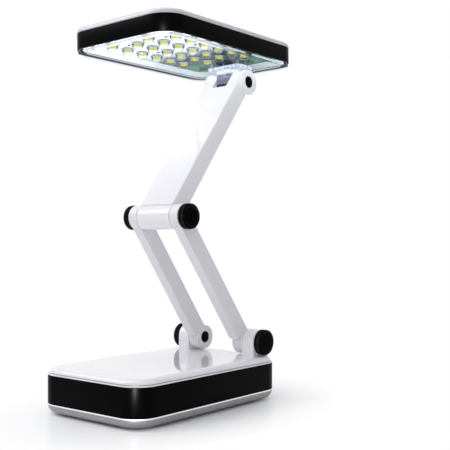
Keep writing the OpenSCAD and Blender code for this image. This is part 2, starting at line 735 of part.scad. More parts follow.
module upper_arm() {
  half = arm_w / 2;
  hollow_end = arm_len - notch_deep - 5;
  color(white) at_arm() {
    difference() {
      union() {
        for (a = [-1:1]) rotate([0, a * asin(arm_flare / arm_len), 0])
          translate([0, 0, 4.5]) linear_extrude(arm_len - 4.5)
            bar_section(-half, half, ear_r, arm_back, arm_edge_r);
        soft_rod(barrel_r, -half, half, edge_r * 0.4);
        translate([0, 0, arm_len]) {
          soft_rod(ear_r, -ear_half, ear_half, arm_edge_r);
          both() soft_rod(ear_r + boss_over, ear_half - 1, ear_half + boss_t, boss_edge_r);
        }
      }
      rod(pin_bore, -60, 60, fine);
      translate([0, 0, arm_len]) {
        rod(pin_bore, -60, 60, fine);
        both() translate([ear_half + boss_t, 0, 0]) well();
      }
      // notch between the ears, its lower corners rounded
      translate([0, 20, 0]) rotate([90, 0, 0]) linear_extrude(40) {
        translate([-notch_w / 2, arm_len - notch_deep + 1.6]) square([notch_w, 40]);
        translate([-notch_w / 2 + 1.6, arm_len - notch_deep]) square([notch_w - 3.2, 40]);
        for (s = [-1, 1]) translate([s * (notch_w / 2 - 1.6), arm_len - notch_deep + 1.6])
          circle(1.6, $fn = fine);
        // mouth, rounded over to the tops of the ears
        difference() {
          translate([-notch_w / 2 - notch_flare, arm_len + ear_r - notch_flare])
            square([notch_w + 2 * notch_flare, 10]);
          for (s = [-1, 1]) translate([s * (notch_w / 2 + notch_flare), arm_len + ear_r - notch_flare])
            circle(notch_flare, $fn = smooth);
        }
      }
      // wiring hollow, open at the back
      block([-half + 2.2, -ear_r + 2, rail_start], [half - 2.2, arm_back + 1, hollow_end]);
      block([-half + 1.3, arm_back - seat_t, rail_start - 1.5], [half - 1.3, arm_back + 1, hollow_end + 1.5]);
    }
    // cross ribs and two screw posts in the hollow
    for (i = [1:3]) translate([0, 0, rail_start + i * (hollow_end - rail_start) / 4])
      block([-half + 2.1, -ear_r + 1.9, -0.7], [half - 2.1, arm_back - seat_t - 3, 0.7]);
    for (z = arm_screw_z()) translate([0, 0, z]) rotate([-90, 0, 0]) difference() {
      translate([0, 0, -ear_r + 1.9]) cylinder(r = 3, h = ear_r + arm_back - seat_t - 1.9, $fn = fine);
      translate([0, 0, -ear_r + 4]) cylinder(r = screw_r + screw_fit, h = 20, $fn = fine);
    }
  }
}

function arm_screw_z() = [rail_start + 9, arm_len - notch_deep - 14];

module arm_cover() {
  half = arm_w / 2;
  side = 0.12;
  color(satin_white) at_arm() difference() {
    block([-half + 1.3 + side, arm_back - seat_t, rail_start - 1.5 + side],
          [half - 1.3 - side, arm_back, arm_len - notch_deep - 3.5 - side]);
    for (z = arm_screw_z()) translate([0, 0, z]) rotate([-90, 0, 0]) {
      cylinder(r = screw_r + 0.2, h = 20, $fn = fine);
      translate([0, 0, arm_back - 0.7]) cylinder(r = screw_head_r + 0.2, h = 5, $fn = fine);
    }
  }
}

module arm_cover_screws() {
  color(steel) at_arm() for (z = arm_screw_z()) translate([0, 0, z]) rotate([-90, 0, 0])
    difference() {
      union() {
        translate([0, 0, arm_back - 0.7]) cylinder(r = screw_head_r, h = 0.9, $fn = fine);
        translate([0, 0, arm_back - 7.5]) cylinder(r = screw_r, h = 7, $fn = fine);
      }
      for (a = [0, 90]) translate([0, 0, arm_back + 0.2]) rotate(a) cube([3, 0.6, 0.9], center = true);
    }
}

module ear_caps() {
  color(black) at_arm() both() translate([ear_half + boss_t, 0, arm_len]) cap();
}

module head_pin() {
  end = ear_half + boss_t - cap_t - 0.1;
  color(steel) at_arm() translate([0, 0, arm_len]) {
    rod(pin_r, -end + 0.1, end - 0.1, fine);
    both() rod(bolt_head_r, end - bolt_head_h, end);
  }
}

// ---- head ----

module hinge_bracket() {
  stem_top = lens_floor - lens_out + flange_t;
  color([0.35, 0.37, 0.44]) at_head() difference() {
    translate([0, head_pin_y, 0]) union() {
      translate([0, 0, -pin_to_band]) {
        rod(bracket_r, -bracket_w / 2, bracket_w / 2);
        block([-bracket_w / 2, -bracket_r, 0], [bracket_w / 2, bracket_r, pin_to_band + stem_top]);
      }
      block([-flange_w / 2, -flange_l / 2, stem_top - flange_t], [flange_w / 2, flange_l / 2, stem_top]);
    }
    translate([0, head_pin_y, -pin_to_band]) rod(pin_bore, -60, 60, fine);
    for (x = [-1, 1], y = [-1, 1])
      translate([x * bracket_post_x, head_pin_y + y * bracket_post_y, -5]) cylinder(r = screw_r + 0.2, h = 20, $fn = fine);
    // lead passage
    translate([0, head_pin_y, -2]) block([-3, -3, 0], [3, 3, 20]);
  }
}

module bracket_screws() {
  stem_top = lens_floor - lens_out + flange_t;
  color(steel) at_head() for (x = [-1, 1], y = [-1, 1])
    translate([x * bracket_post_x, head_pin_y + y * bracket_post_y, 0])
      translate([0, 0, stem_top - flange_t + 0.1]) cylinder(r = screw_r, h = 9, $fn = fine);
}

module head_cover() {
  stem_top = lens_floor - lens_out + flange_t;
  color([0.82, 0.83, 0.85]) at_head() difference() {
    union() {
      difference() {
        translate([0, 0, cover_top]) mirror([0, 0, 1]) rolled_slab(0, cover_roll, cover_h);
        plate(cover_roll + 1.2, head_band_h - 1, cover_ceiling - head_band_h + 1);
      }
      ring(lip_in, lip_t + 0.6, head_band_h - 3, 3.4);
      for (x = [-1, 1], y = head_post_ys)
        translate([x * head_post_x, y, board_z + board_t]) cylinder(r = 2.8, h = cover_ceiling - board_z - board_t + 0.2, $fn = fine);
      for (x = [-1, 1], y = [-1, 1])
        translate([x * bracket_post_x, head_pin_y + y * bracket_post_y, stem_top])
          cylinder(r = 2.6, h = cover_ceiling - stem_top + 0.2, $fn = fine);
      // long stiffening ribs
      for (x = [-20, 20]) block([x - 0.7, -60, board_z + board_t + 2], [x + 0.7, 60, cover_ceiling + 0.2]);
    }
    for (x = [-1, 1], y = head_post_ys)
      translate([x * head_post_x, y, 0]) cylinder(r = screw_r + screw_fit, h = cover_ceiling - 0.4, $fn = fine);
    for (x = [-1, 1], y = [-1, 1])
      translate([x * bracket_post_x, head_pin_y + y * bracket_post_y, 0]) cylinder(r = screw_r + screw_fit, h = cover_ceiling - 0.4, $fn = fine);
  }
}

module head_band() {
  color(black) at_head() ring(0, band_wall, 0, head_band_h);
}

module head_lens() {
  color([0.85, 0.93, 0.97, 0.35]) at_head() difference() {
    union() {
      translate([0, 0, -lens_out]) rolled_slab(lens_inset, 1, lens_out);
      ring(lip_in, lip_t, -0.5, lens_up + 0.5);
    }
    plate(lens_step_in, lens_floor - lens_out, 20);
    translate([-bracket_w / 2 - 0.3, head_pin_y - bracket_r - 0.3, -20])
      cube([bracket_w + 0.6, 2 * bracket_r + 0.6, 40]);
  }
}

function led_spots() = [for (r = [0:led_rows - 1], c = [0:led_cols - 1])
  [(r - (led_rows - 1) / 2) * led_row_pitch, c * led_pitch - led_first + (r % 2) * led_pitch / 2]];

module led_board() {
  color([0.9, 0.92, 0.9]) at_head() difference() {
    intersection() {
      plate(board_in, board_z, board_t);
      block([-case_w, -case_l, 0], [case_w, board_split_y, 20]);
    }
    for (x = [-1, 1], y = head_post_ys)
      translate([x * head_post_x, y, 0]) cylinder(r = screw_r + 0.2, h = 40, $fn = fine);
  }
}

module driver_board() {
  color(green) at_head() difference() {
    intersection() {
      plate(board_in, board_z, board_t);
      block([-case_w, board_split_y + 0.4, 0], [case_w, case_l, 20]);
    }
    translate([0, head_pin_y, 0]) block([-flange_w / 2 - 0.6, -12, 0], [flange_w / 2 + 0.6, 12, 20]);
  }
  color([0.16, 0.16, 0.18]) at_head() for (x = [-1, 1]) {
    block([x * driver_x - 4, driver_y - 2, board_z - 2], [x * driver_x + 4, driver_y + 2, board_z]);
    block([x * (driver_x - 6) - 1.6, driver_y + 6, board_z - 1.2], [x * (driver_x - 6) + 1.6, driver_y + 7.6, board_z]);
  }
  // posts that carry the small board on the cover
  color(green) at_head() for (x = [-1, 1])
    translate([x * driver_post, driver_y + 4, board_z + board_t]) cylinder(r = 2, h = cover_ceiling - board_z - board_t, $fn = fine);
}

module led_domes() {
  ball = (led_r * led_r + led_dome_h * led_dome_h) / (2 * led_dome_h);
  color([0.95, 0.96, 0.98, 0.6]) at_head() for (p = led_spots()) translate([p[0], p[1], 0])
    rotate_extrude($fn = 48) difference() {
      union() {
        intersection() {
          translate([0, led_tip_z + ball]) circle(ball, $fn = 128);
          square([led_r, led_tip_z + led_dome_h]);
        }
        translate([0, led_tip_z + led_dome_h - 0.01]) square([led_r, board_z - led_tip_z - led_dome_h + 0.01]);
        translate([0, board_z - 0.9]) square([led_flange_r, 0.9]);
      }
      // hollow that seats the cup
      polygon([[0, board_z + 1], [0, board_z - cup_h - chip_bulge - 0.1], [chip_r + 0.3, board_z - cup_h - 0.4],
               [cup_r + 0.05, board_z - cup_h - 0.05], [chip_r + 0.6, board_z - brim_t - 0.05],
               [brim_r + 0.05, board_z - brim_t - 0.05], [brim_r + 0.05, board_z + 1]]);
    }
}

module led_cups() {
  color([0.97, 0.97, 0.95]) at_head() for (p = led_spots()) translate([p[0], p[1], 0])
    rotate_extrude($fn = fine)
      polygon([[0, board_z], [brim_r, board_z], [brim_r, board_z - brim_t], [chip_r + 0.45, board_z - brim_t],
               [cup_r, board_z - cup_h], [cup_r - 0.3, board_z - cup_h],
               [chip_r + 0.05, board_z - 0.6], [0, board_z - 0.6]]);
}

module led_chips() {
  color([0.95, 0.85, 0.2]) at_head() for (p = led_spots()) translate([p[0], p[1], 0])
    rotate_extrude($fn = fine)
      polygon([[0, board_z - 0.6], [chip_r, board_z - 0.6], [cup_r - 0.35, board_z - cup_h + 0.02],
               [chip_r + 0.1, board_z - cup_h - 0.3], [chip_r * 0.6, board_z - cup_h - chip_bulge + 0.06],
               [0, board_z - cup_h - chip_bulge]]);
}

module board_screws() {
  color(steel) at_head() for (x = [-1, 1], y = head_post_ys) translate([x * head_post_x, y, 0])
    difference() {
      union() {
        translate([0, 0, board_z - 1.6]) cylinder(r = screw_head_r, h = 1.6, $fn = fine);
        translate([0, 0, board_z - 0.1]) cylinder(r = screw_r, h = 6, $fn = fine);
      }
      for (a = [0, 90]) translate([0, 0, board_z - 1.6]) rotate(a) cube([3, 0.6, 1.2], center = true);
    }
}

base_tray();
battery_door();
battery_cells();
battery_contacts();
control_board();
board_parts();
base_band();
base_deck();
case_screws();
feet();
dc_jack();
dc_pin();
switch_body();
switch_slider();
leg_left();
leg_right();
leg_cover_left();
leg_cover_right();
leg_bolts();
leg_caps();
elbow_axle();
knob_base_left();
knob_base_right();
knob_elbow_left();
knob_elbow_right();
upper_arm();
arm_cover();
arm_cover_screws();
ear_caps();
head_pin();
hinge_bracket();
bracket_screws();
head_cover();
head_band();
head_lens();
led_board();
driver_board();
led_domes();
led_cups();
led_chips();
board_screws();
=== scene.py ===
import json
import math

import bmesh
import bpy
from bpy.props import FloatProperty, FloatVectorProperty, IntProperty, PointerProperty
from mathutils import Matrix, Vector


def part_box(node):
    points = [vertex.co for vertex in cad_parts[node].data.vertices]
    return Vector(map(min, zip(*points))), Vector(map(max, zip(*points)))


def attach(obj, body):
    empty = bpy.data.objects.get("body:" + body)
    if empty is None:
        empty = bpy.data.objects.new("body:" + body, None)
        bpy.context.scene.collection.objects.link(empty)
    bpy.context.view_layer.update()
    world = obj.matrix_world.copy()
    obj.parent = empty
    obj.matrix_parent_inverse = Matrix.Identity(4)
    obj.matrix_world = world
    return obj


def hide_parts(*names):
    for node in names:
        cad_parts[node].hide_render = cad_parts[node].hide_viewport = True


bl_info = {
    "name": "Folding desk lamp",
    "version": (1, 0, 0),
    "blender": (4, 5, 0),
    "location": "View3D > Sidebar > Lamp",
    "description": "Builds the visible pieces and the finishes of a folding LED desk lamp",
    "category": "Add Mesh",
}

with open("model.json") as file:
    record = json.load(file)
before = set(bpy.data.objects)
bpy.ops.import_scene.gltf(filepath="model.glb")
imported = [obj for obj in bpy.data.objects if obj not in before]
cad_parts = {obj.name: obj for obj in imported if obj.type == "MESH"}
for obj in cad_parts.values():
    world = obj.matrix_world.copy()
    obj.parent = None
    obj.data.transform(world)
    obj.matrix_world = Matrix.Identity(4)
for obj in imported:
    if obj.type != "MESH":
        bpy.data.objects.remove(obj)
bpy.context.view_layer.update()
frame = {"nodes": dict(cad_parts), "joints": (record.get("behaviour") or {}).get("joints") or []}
NODES = frame["nodes"]
PIVOTS = {j["name"]: Vector(j["pos_m"]) for j in frame["joints"] if "pos_m" in j}

MM = 0.001
BAND_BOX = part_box("base_band")
CAP_DEEP = 2.0 * MM          # how far a cap's skirt reaches into its well
HEAD_TILT = math.radians(1)  # slope of the head as it stands, its free end low


def linear(hex_colour):
    """Turns an sRGB hex colour to Blender's linear RGBA."""
    parts = [int(hex_colour[i:i + 2], 16) / 255 for i in (0, 2, 4)]
    return tuple(c / 12.92 if c <= 0.04045 else ((c + 0.055) / 1.055) ** 2.4 for c in parts) + (1.0,)


def length(name, text, default):
    """A size in metres that a user may change."""
    return FloatProperty(name=name, description=text, default=default, min=0.0, unit="LENGTH", precision=5)


def colour(name, text, hex_colour):
    """A colour that a user may change."""
    return FloatVectorProperty(name=name, description=text, subtype="COLOR", size=4, min=0, max=1,
                               default=linear(hex_colour))


class LampSizes(bpy.types.PropertyGroup):
    """Sizes of the pieces that are modelled here."""
    case_w: length("Case width", "Width of base and head along the hinge pins", BAND_BOX[1].x - BAND_BOX[0].x)
    case_l: length("Case length", "Length of the base", BAND_BOX[1].y - BAND_BOX[0].y)
    head_l: length("Head length", "Length of the head", 146 * MM)
    case_r: length("Corner radius", "Plan radius of the four corners", 16 * MM)
    band_wall: length("Band wall", "Wall of the black bands", 2.2 * MM)
    band_ease: length("Band edge", "Rounding of a band's outer edges", 0.45 * MM)
    deck_in: length("Deck in", "Raised deck, in from the case outline", 1.2 * MM)
    deck_lip: length("Deck lip", "Thickness of the lip under the raised deck", 0.85 * MM)
    head_band_h: length("Head band height", "Height of the black band of the head", 11.5 * MM)
    cover_h: length("Cover height", "Height of the head's top cover", 3.7 * MM)
    cover_roll: length("Cover roll", "Radius that rolls the cover's side in to its top", 3.0 * MM)
    seam: length("Seam", "Depth of the parting line under the cover", 0.3 * MM)
    pin_to_band: length("Pin to band", "Head pin to the underside of the black band", 12.9 * MM)
    head_pin_in: length("Head pin in", "Head pin in from the hinge end of the head", 22.6 * MM)
    base_knob_r: length("Base knob radius", "Radius over the knurl of a base knob", 9.5 * MM)
    elbow_knob_r: length("Elbow knob radius", "Radius over the knurl of an elbow knob", 9.0 * MM)
    knob_t: length("Knob thickness", "Thickness of a clamping knob", 5.4 * MM)
    knob_ribs: IntProperty(name="Knob ribs", description="Ribs round a clamping knob", default=44, min=8,
                           max=90)
    cap_r: length("Cap radius", "Radius of the black pin caps", 4.34 * MM)
    cap_dome: length("Cap dome", "Height of a cap's dome", 0.5 * MM)
    foot_r: length("Foot radius", "Radius of a rubber foot", 5 * MM)
    board_z: length("Board height", "Underside of the LED board above the band's lower edge", 5.6 * MM)
    led_r: length("LED radius", "Radius of an LED's clear dome", 4.1 * MM)
    led_rim_r: length("LED rim radius", "Radius of an LED's rim on the board", 4.8 * MM)
    led_drop: length("LED depth", "How far an LED stands below its board", 5.2 * MM)
    led_stand: length("LED stand-off", "Gap between an LED's rim and its board", 0.55 * MM)
    liner_in: length("Liner in", "White wall round the LEDs, in from the outline of the head", 4.2 * MM)
    liner_z: length("Liner height", "Lower edge of that wall above the band's lower edge", 1.1 * MM)
    liner_wall: length("Liner wall", "Thickness of that wall", 0.8 * MM)
    led_row_pitch: length("Row pitch", "Spacing of the LED rows", 18 * MM)
    led_pitch: length("LED pitch", "Spacing of the LEDs in a row", 15.2 * MM)
    led_first: length("First LED", "First LED ahead of the middle of the head", 50 * MM)


class LampColours(bpy.types.PropertyGroup):
    """Colours of the finishes."""
    gloss_white: colour("Gloss white", "Deck and upper arm", "E9E8ED")
    satin_white: colour("Satin white", "Legs and back covers", "E0DFE3")
    pearl_white: colour("Pearl white", "Top cover of the head", "CCCCD2")
    black: colour("Black", "Side bands", "030303")
    knob_black: colour("Knob black", "Clamping knobs", "020202")
    silver: colour("Silver", "Painted tray of the base", "9A9A9E")
    smoke: colour("Smoke", "Tinted hinge bracket", "737B90")
    solder_green: colour("Board green", "Solder mask of the boards", "17543D")
    board_white: colour("Board white", "Solder mask of the LED board", "EEF2EE")
    phosphor: colour("Phosphor", "Yellow phosphor of the LEDs", "F2E000")


# ---- shader helpers ----

def add(tree, kind, settings=None, inputs=None):
    """Adds one node, sets its properties, and fills or links its inputs."""
    made = tree.nodes.new(kind)
    for key, value in (settings or {}).items():
        setattr(made, key, value)
    for key, value in (inputs or {}).items():
        if isinstance(value, bpy.types.NodeSocket):
            tree.links.new(value, made.inputs[key])
        else:
            made.inputs[key].default_value = value
    return made


def start(name):
    """A new empty material and its node tree."""
    material = bpy.data.materials.new(name)
    material.use_nodes = True
    material.node_tree.nodes.clear()
    return material, material.node_tree


def worn_and_highlit_edges(tree, radius):
    """A mask that is 1 on edges sharper than `radius`: for edges worn by handling, and for a painted
    highlight on edges that catch the light.
    """
    eased = add(tree, "ShaderNodeBevel", {"samples": 4}, {"Radius": radius})
    plain = add(tree, "ShaderNodeNewGeometry")
    turn = add(tree, "ShaderNodeVectorMath", {"operation": "DOT_PRODUCT"},
               {0: eased.outputs["Normal"], 1: plain.outputs["Normal"]})
    return add(tree, "ShaderNodeMapRange", None,
               {"Value": turn.outputs["Value"], "From Min": 0.995, "From Max": 0.85}).outputs["Result"]


def moulded(name, tone, roughness, grain, height, specular=0.5, wear_and_highlight=0.35, cloud=0.03, coat=0.0,
            bloom=0.25):
    """Injection-moulded plastic: even tone with faint flow clouds, mould grain `grain` apart and `height`
    deep, handling marks in the gloss, and edges paler by the share `bloom`: partly worn by handling, partly a
    painted highlight where they catch the light."""
    material, tree = start(name)
    tone = Vector(tone)
    spot = add(tree, "ShaderNodeTexCoord").outputs["Object"]
    # flow clouds about 25 mm across, handling marks about 9 mm
    clouds = add(tree, "ShaderNodeTexNoise", None, {"Vector": spot, "Scale": 1 / 0.025, "Detail": 2.0})
    marks = add(tree, "ShaderNodeTexNoise", None,
                {"Vector": spot, "Scale": 1 / 0.009, "Detail": 2.0})
    pits = add(tree, "ShaderNodeTexNoise", None, {"Vector": spot, "Scale": 1 / grain, "Detail": 1.0})
    # edges paler: partly handling wear, partly a painted highlight where they catch the light, strongest on
    # the knob ribs
    edge = add(tree, "ShaderNodeMath", {"operation": "MULTIPLY"},
               {0: worn_and_highlit_edges(tree, 0.35 * MM), 1: marks.outputs["Fac"]})
    edge = add(tree, "ShaderNodeMath", {"operation": "MULTIPLY"}, {0: edge.outputs[0], 1: wear_and_highlight})
    base = add(tree, "ShaderNodeMix", {"data_type": "RGBA"},
               {0: clouds.outputs["Fac"], 6: tuple(tone * (1 - cloud))[:3] + (1.0,),
                7: tuple(min(1.0, c * (1 + cloud)) for c in tone)[:3] + (1.0,)})
    # paler edge tone: handling wear and painted highlight
    worn_and_highlit_tone = tuple(min(1.0, c + (0.9 - c) * bloom) for c in tone)[:3] + (1.0,)
    base = add(tree, "ShaderNodeMix", {"data_type": "RGBA"},
               {0: edge.outputs[0], 6: base.outputs[2], 7: worn_and_highlit_tone})
    gloss = add(tree, "ShaderNodeMapRange", None,
                {"Value": marks.outputs["Fac"], "From Min": 0.3, "From Max": 0.7,
                 "To Min": roughness * 0.96, "To Max": roughness * 1.05})
    relief = add(tree, "ShaderNodeBump", None,
                 {"Strength": 1.0, "Distance": height, "Height": pits.outputs["Fac"]})
    shader = add(tree, "ShaderNodeBsdfPrincipled", None,
                 {"Base Color": base.outputs[2], "Roughness": gloss.outputs["Result"], "IOR": 1.5,
                  "Specular IOR Level": specular, "Coat Weight": coat, "Coat Roughness": 0.05,
                  "Normal": relief.outputs["Normal"]})
    add(tree, "ShaderNodeOutputMaterial", None, {"Surface": shader.outputs[0]})
    return material


def metal(name, tone, roughness):
    """Plated metal: bright, with fine tool marks and slight tarnish blotches."""
    material, tree = start(name)
    spot = add(tree, "ShaderNodeTexCoord").outputs["Object"]
    stretch = add(tree, "ShaderNodeMapping", None, {"Vector": spot, "Scale": (1.0, 1.0, 12.0)})
    # tool marks 0.3 mm wide, blotches about 4 mm
    lines = add(tree, "ShaderNodeTexNoise", None,
                {"Vector": stretch.outputs[0], "Scale": 1 / (0.3 * MM), "Detail": 3.0})
    stain = add(tree, "ShaderNodeTexNoise", None, {"Vector": spot, "Scale": 1 / 0.004, "Detail": 3.0})
    dull = tuple(c * 0.82 for c in tone[:3]) + (1.0,)
    base = add(tree, "ShaderNodeMix", {"data_type": "RGBA"}, {0: stain.outputs["Fac"], 6: tone, 7: dull})
    gloss = add(tree, "ShaderNodeMapRange", None,
                {"Value": lines.outputs["Fac"], "To Min": roughness * 0.7, "To Max": roughness * 1.4})
    relief = add(tree, "ShaderNodeBump", None,
                 {"Strength": 1.0, "Distance": 0.01 * MM, "Height": lines.outputs["Fac"]})
    shader = add(tree, "ShaderNodeBsdfPrincipled", None,
                 {"Base Color": base.outputs[2], "Metallic": 1.0, "Roughness": gloss.outputs["Result"],
                  "Normal": relief.outputs["Normal"]})
    add(tree, "ShaderNodeOutputMaterial", None, {"Surface": shader.outputs[0]})
    return material


def silver_paint(name, tone):
    """Silver metallic paint on ABS: aluminium flake in a clear binder, a satin sheen, a soft sparkle, and a
    painted highlight along the upper edge of the tray.
    """
    material, tree = start(name)
    spot = add(tree, "ShaderNodeTexCoord").outputs["Object"]
    # real flake is about 0.03 mm; drawn at 0.35 mm, so that the sparkle shows
    flake = add(tree, "ShaderNodeTexVoronoi", None, {"Vector": spot, "Scale": 1 / (0.35 * MM)})
    marks = add(tree, "ShaderNodeTexNoise", None, {"Vector": spot, "Scale": 1 / 0.008, "Detail": 4.0})
    grey = add(tree, "ShaderNodeSeparateColor", None, {"Color": flake.outputs["Color"]})
    dark = tuple(c * 0.86 for c in tone[:3]) + (1.0,)
    base = add(tree, "ShaderNodeMix", {"data_type": "RGBA"}, {0: grey.outputs["Red"], 6: dark, 7: tone})
    # edges a fifth paler: handling wear, and a painted highlight along them
    edge = worn_and_highlit_edges(tree, 0.4 * MM)
    rubbed_and_highlit = tuple(min(1.0, c * 1.2) for c in tone[:3]) + (1.0,)
    base = add(tree, "ShaderNodeMix", {"data_type": "RGBA"}, {0: edge, 6: base.outputs[2], 7: rubbed_and_highlit})
    # painted highlight: a white line along the upper edge of the tray, where its rim would catch the light
    # from above
    height = add(tree, "ShaderNodeSeparateXYZ", None, {"Vector": spot}).outputs["Z"]
    painted_highlight_line = add(tree, "ShaderNodeMapRange", None,
               {"Value": height, "From Min": BAND_BOX[0].z - 0.9 * MM, "From Max": BAND_BOX[0].z - 0.6 * MM})
    base = add(tree, "ShaderNodeMix", {"data_type": "RGBA"},
               {0: painted_highlight_line.outputs["Result"], 6: base.outputs[2], 7: linear("FFFFFF")})
    gloss = add(tree, "ShaderNodeMapRange", None,
                {"Value": marks.outputs["Fac"], "From Min": 0.3, "From Max": 0.7,
                 "To Min": 0.3, "To Max": 0.42})
    relief = add(tree, "ShaderNodeBump", None,
                 {"Strength": 1.0, "Distance": 0.008 * MM, "Height": flake.outputs["Distance"]})
    shader = add(tree, "ShaderNodeBsdfPrincipled", None,
                 {"Base Color": base.outputs[2], "Metallic": 0.7, "Roughness": gloss.outputs["Result"],
                  "Coat Weight": 0.1, "Coat Roughness": 0.2, "Normal": relief.outputs["Normal"]})
    add(tree, "ShaderNodeOutputMaterial", None, {"Surface": shader.outputs[0]})
    return material


def clear_plastic(name, tone, rim_tone, ior, solid):
    """Clear polished plastic: see-through, with a tint that gathers where it turns away. The share
    (1 - solid) of light and view goes straight through, as it does through a thin wall."""
    material, tree = start(name)
    turned = add(tree, "ShaderNodeLayerWeight", None, {"Blend": 0.2})
    tint = add(tree, "ShaderNodeMix", {"data_type": "RGBA"},
               {0: turned.outputs["Facing"], 6: tone, 7: rim_tone})
    shader = add(tree, "ShaderNodeBsdfPrincipled", None,
                 {"Base Color": tint.outputs[2], "Roughness": 0.0, "IOR": ior, "Transmission Weight": 1.0,
                  "Alpha": solid})
    add(tree, "ShaderNodeOutputMaterial", None, {"Surface": shader.outputs[0]})
    return material


def smoked_plastic(name, tone, clear_tone):
    """Smoked polycarbonate bracket: clear with a full tint round the pin, and milky in the plate above it,
    which has a painted glow, an emission that stands in for the LEDs' light caught in it, with faint moulding
    ripples."""
    material, tree = start(name)
    spot = add(tree, "ShaderNodeTexCoord").outputs["Object"]
    height = add(tree, "ShaderNodeSeparateXYZ", None, {"Vector": spot}).outputs["Z"]
    pin_z = PIVOTS["head_hinge"].z
    thin = add(tree, "ShaderNodeMapRange", {"interpolation_type": "SMOOTHSTEP"},
               {"Value": height, "From Min": pin_z + 6 * MM, "From Max": pin_z + 9 * MM})
    thin = thin.outputs["Result"]
    tint = add(tree, "ShaderNodeMix", {"data_type": "RGBA"}, {0: thin, 6: tone, 7: clear_tone})
    see = add(tree, "ShaderNodeMapRange", None, {"Value": thin, "To Min": 1.0, "To Max": 0.85})
    # painted glow: emission in the milky plate that stands in for the LEDs' light caught there
    painted_glow = add(tree, "ShaderNodeMapRange", None, {"Value": thin, "To Min": 0.0, "To Max": 0.12})
    # ripples about 6 mm apart
    wave = add(tree, "ShaderNodeTexNoise", None, {"Vector": spot, "Scale": 1 / 0.006, "Detail": 1.0})
    wave = wave.outputs["Fac"]
    marks = add(tree, "ShaderNodeMapRange", None, {"Value": wave, "To Min": 0.05, "To Max": 0.14})
    relief = add(tree, "ShaderNodeBump", None, {"Strength": 1.0, "Distance": 0.004 * MM, "Height": wave})
    shader = add(tree, "ShaderNodeBsdfPrincipled", None,
                 {"Base Color": tint.outputs[2], "Roughness": marks.outputs["Result"], "IOR": 1.3,
                  "Transmission Weight": see.outputs["Result"], "Emission Color": clear_tone,
                  "Emission Strength": painted_glow.outputs["Result"], "Normal": relief.outputs["Normal"]})
    add(tree, "ShaderNodeOutputMaterial", None, {"Surface": shader.outputs[0]})
    return material


def circuit_board(name, tone, track_tone, end_tone=None):
    """Glass-epoxy board under solder mask: even tone with copper tracks that show faintly through it. With an
    end tone the mask changes to it toward the hinge end, past the lamps' own white print."""
    material, tree = start(name)
    spot = add(tree, "ShaderNodeTexCoord").outputs["Object"]
    # tracks on a 2.54 mm grid, with a fine glass weave about 0.7 mm apart
    tracks = add(tree, "ShaderNodeTexBrick", {"offset": 0.5},
                 {"Vector": spot, "Scale": 1 / (2.54 * MM) / 3, "Mortar Size": 0.03, "Color1": (0, 0, 0, 1),
                  "Color2": (0.15, 0.15, 0.15, 1), "Mortar": (1, 1, 1, 1)})
    weave = add(tree, "ShaderNodeTexNoise", None, {"Vector": spot, "Scale": 1 / (0.7 * MM), "Detail": 1.0})
    show = add(tree, "ShaderNodeMath", {"operation": "MULTIPLY"}, {0: tracks.outputs["Color"], 1: 0.5})
    base = add(tree, "ShaderNodeMix", {"data_type": "RGBA"}, {0: show.outputs[0], 6: tone, 7: track_tone})
    if end_tone:
        along = add(tree, "ShaderNodeSeparateXYZ", None, {"Vector": spot}).outputs["Y"]
        end = add(tree, "ShaderNodeMapRange", {"interpolation_type": "SMOOTHSTEP"},
                  {"Value": along, "From Min": 8 * MM, "From Max": 46 * MM})
        base = add(tree, "ShaderNodeMix", {"data_type": "RGBA"},
                   {0: end.outputs["Result"], 6: base.outputs[2], 7: end_tone})
    relief = add(tree, "ShaderNodeBump", None,
                 {"Strength": 1.0, "Distance": 0.02 * MM, "Height": tracks.outputs["Color"]})
    gloss = add(tree, "ShaderNodeMapRange", None,
                {"Value": weave.outputs["Fac"], "To Min": 0.25, "To Max": 0.45})
    shader = add(tree, "ShaderNodeBsdfPrincipled", None,
                 {"Base Color": base.outputs[2], "Roughness": gloss.outputs["Result"], "IOR": 1.5,
                  "Specular IOR Level": 0.12, "Normal": relief.outputs["Normal"]})
    add(tree, "ShaderNodeOutputMaterial", None, {"Surface": shader.outputs[0]})
    return material


def lit_phosphor(name, tone):
    """Yellow phosphor of a white LED: a chalky yellow that glows a little."""
    material, tree = start(name)
    spot = add(tree, "ShaderNodeTexCoord").outputs["Object"]
    chalk = add(tree, "ShaderNodeTexNoise", None, {"Vector": spot, "Scale": 1 / (0.4 * MM), "Detail": 2.0})
    deep = tuple(c * 0.8 for c in tone[:3]) + (1.0,)
    base = add(tree, "ShaderNodeMix", {"data_type": "RGBA"}, {0: chalk.outputs["Fac"], 6: tone, 7: deep})
    shader = add(tree, "ShaderNodeBsdfPrincipled", None,
                 {"Base Color": base.outputs[2], "Roughness": 0.7, "IOR": 1.5, "Specular IOR Level": 0.03,
                  "Emission Color": base.outputs[2], "Emission Strength": 0.4})
    add(tree, "ShaderNodeOutputMaterial", None, {"Surface": shader.outputs[0]})
    return material


def cell_sleeve(name):
    """Shrink sleeve of an AA cell: blue film drawn tight, glossy, with faint draw lines round the can."""
    material, tree = start(name)
    spot = add(tree, "ShaderNodeTexCoord").outputs["Object"]
    lines = add(tree, "ShaderNodeTexWave", {"bands_direction": "Y"},
                {"Vector": spot, "Scale": 1 / (2 * MM) / 6, "Distortion": 1.5})
    base = add(tree, "ShaderNodeMix", {"data_type": "RGBA"},
               {0: lines.outputs["Fac"], 6: linear("23527F"), 7: linear("2C619A")})
    shader = add(tree, "ShaderNodeBsdfPrincipled", None,
                 {"Base Color": base.outputs[2], "Roughness": 0.25, "IOR": 1.5, "Coat Weight": 0.4})
    add(tree, "ShaderNodeOutputMaterial", None, {"Surface": shader.outputs[0]})
    return material


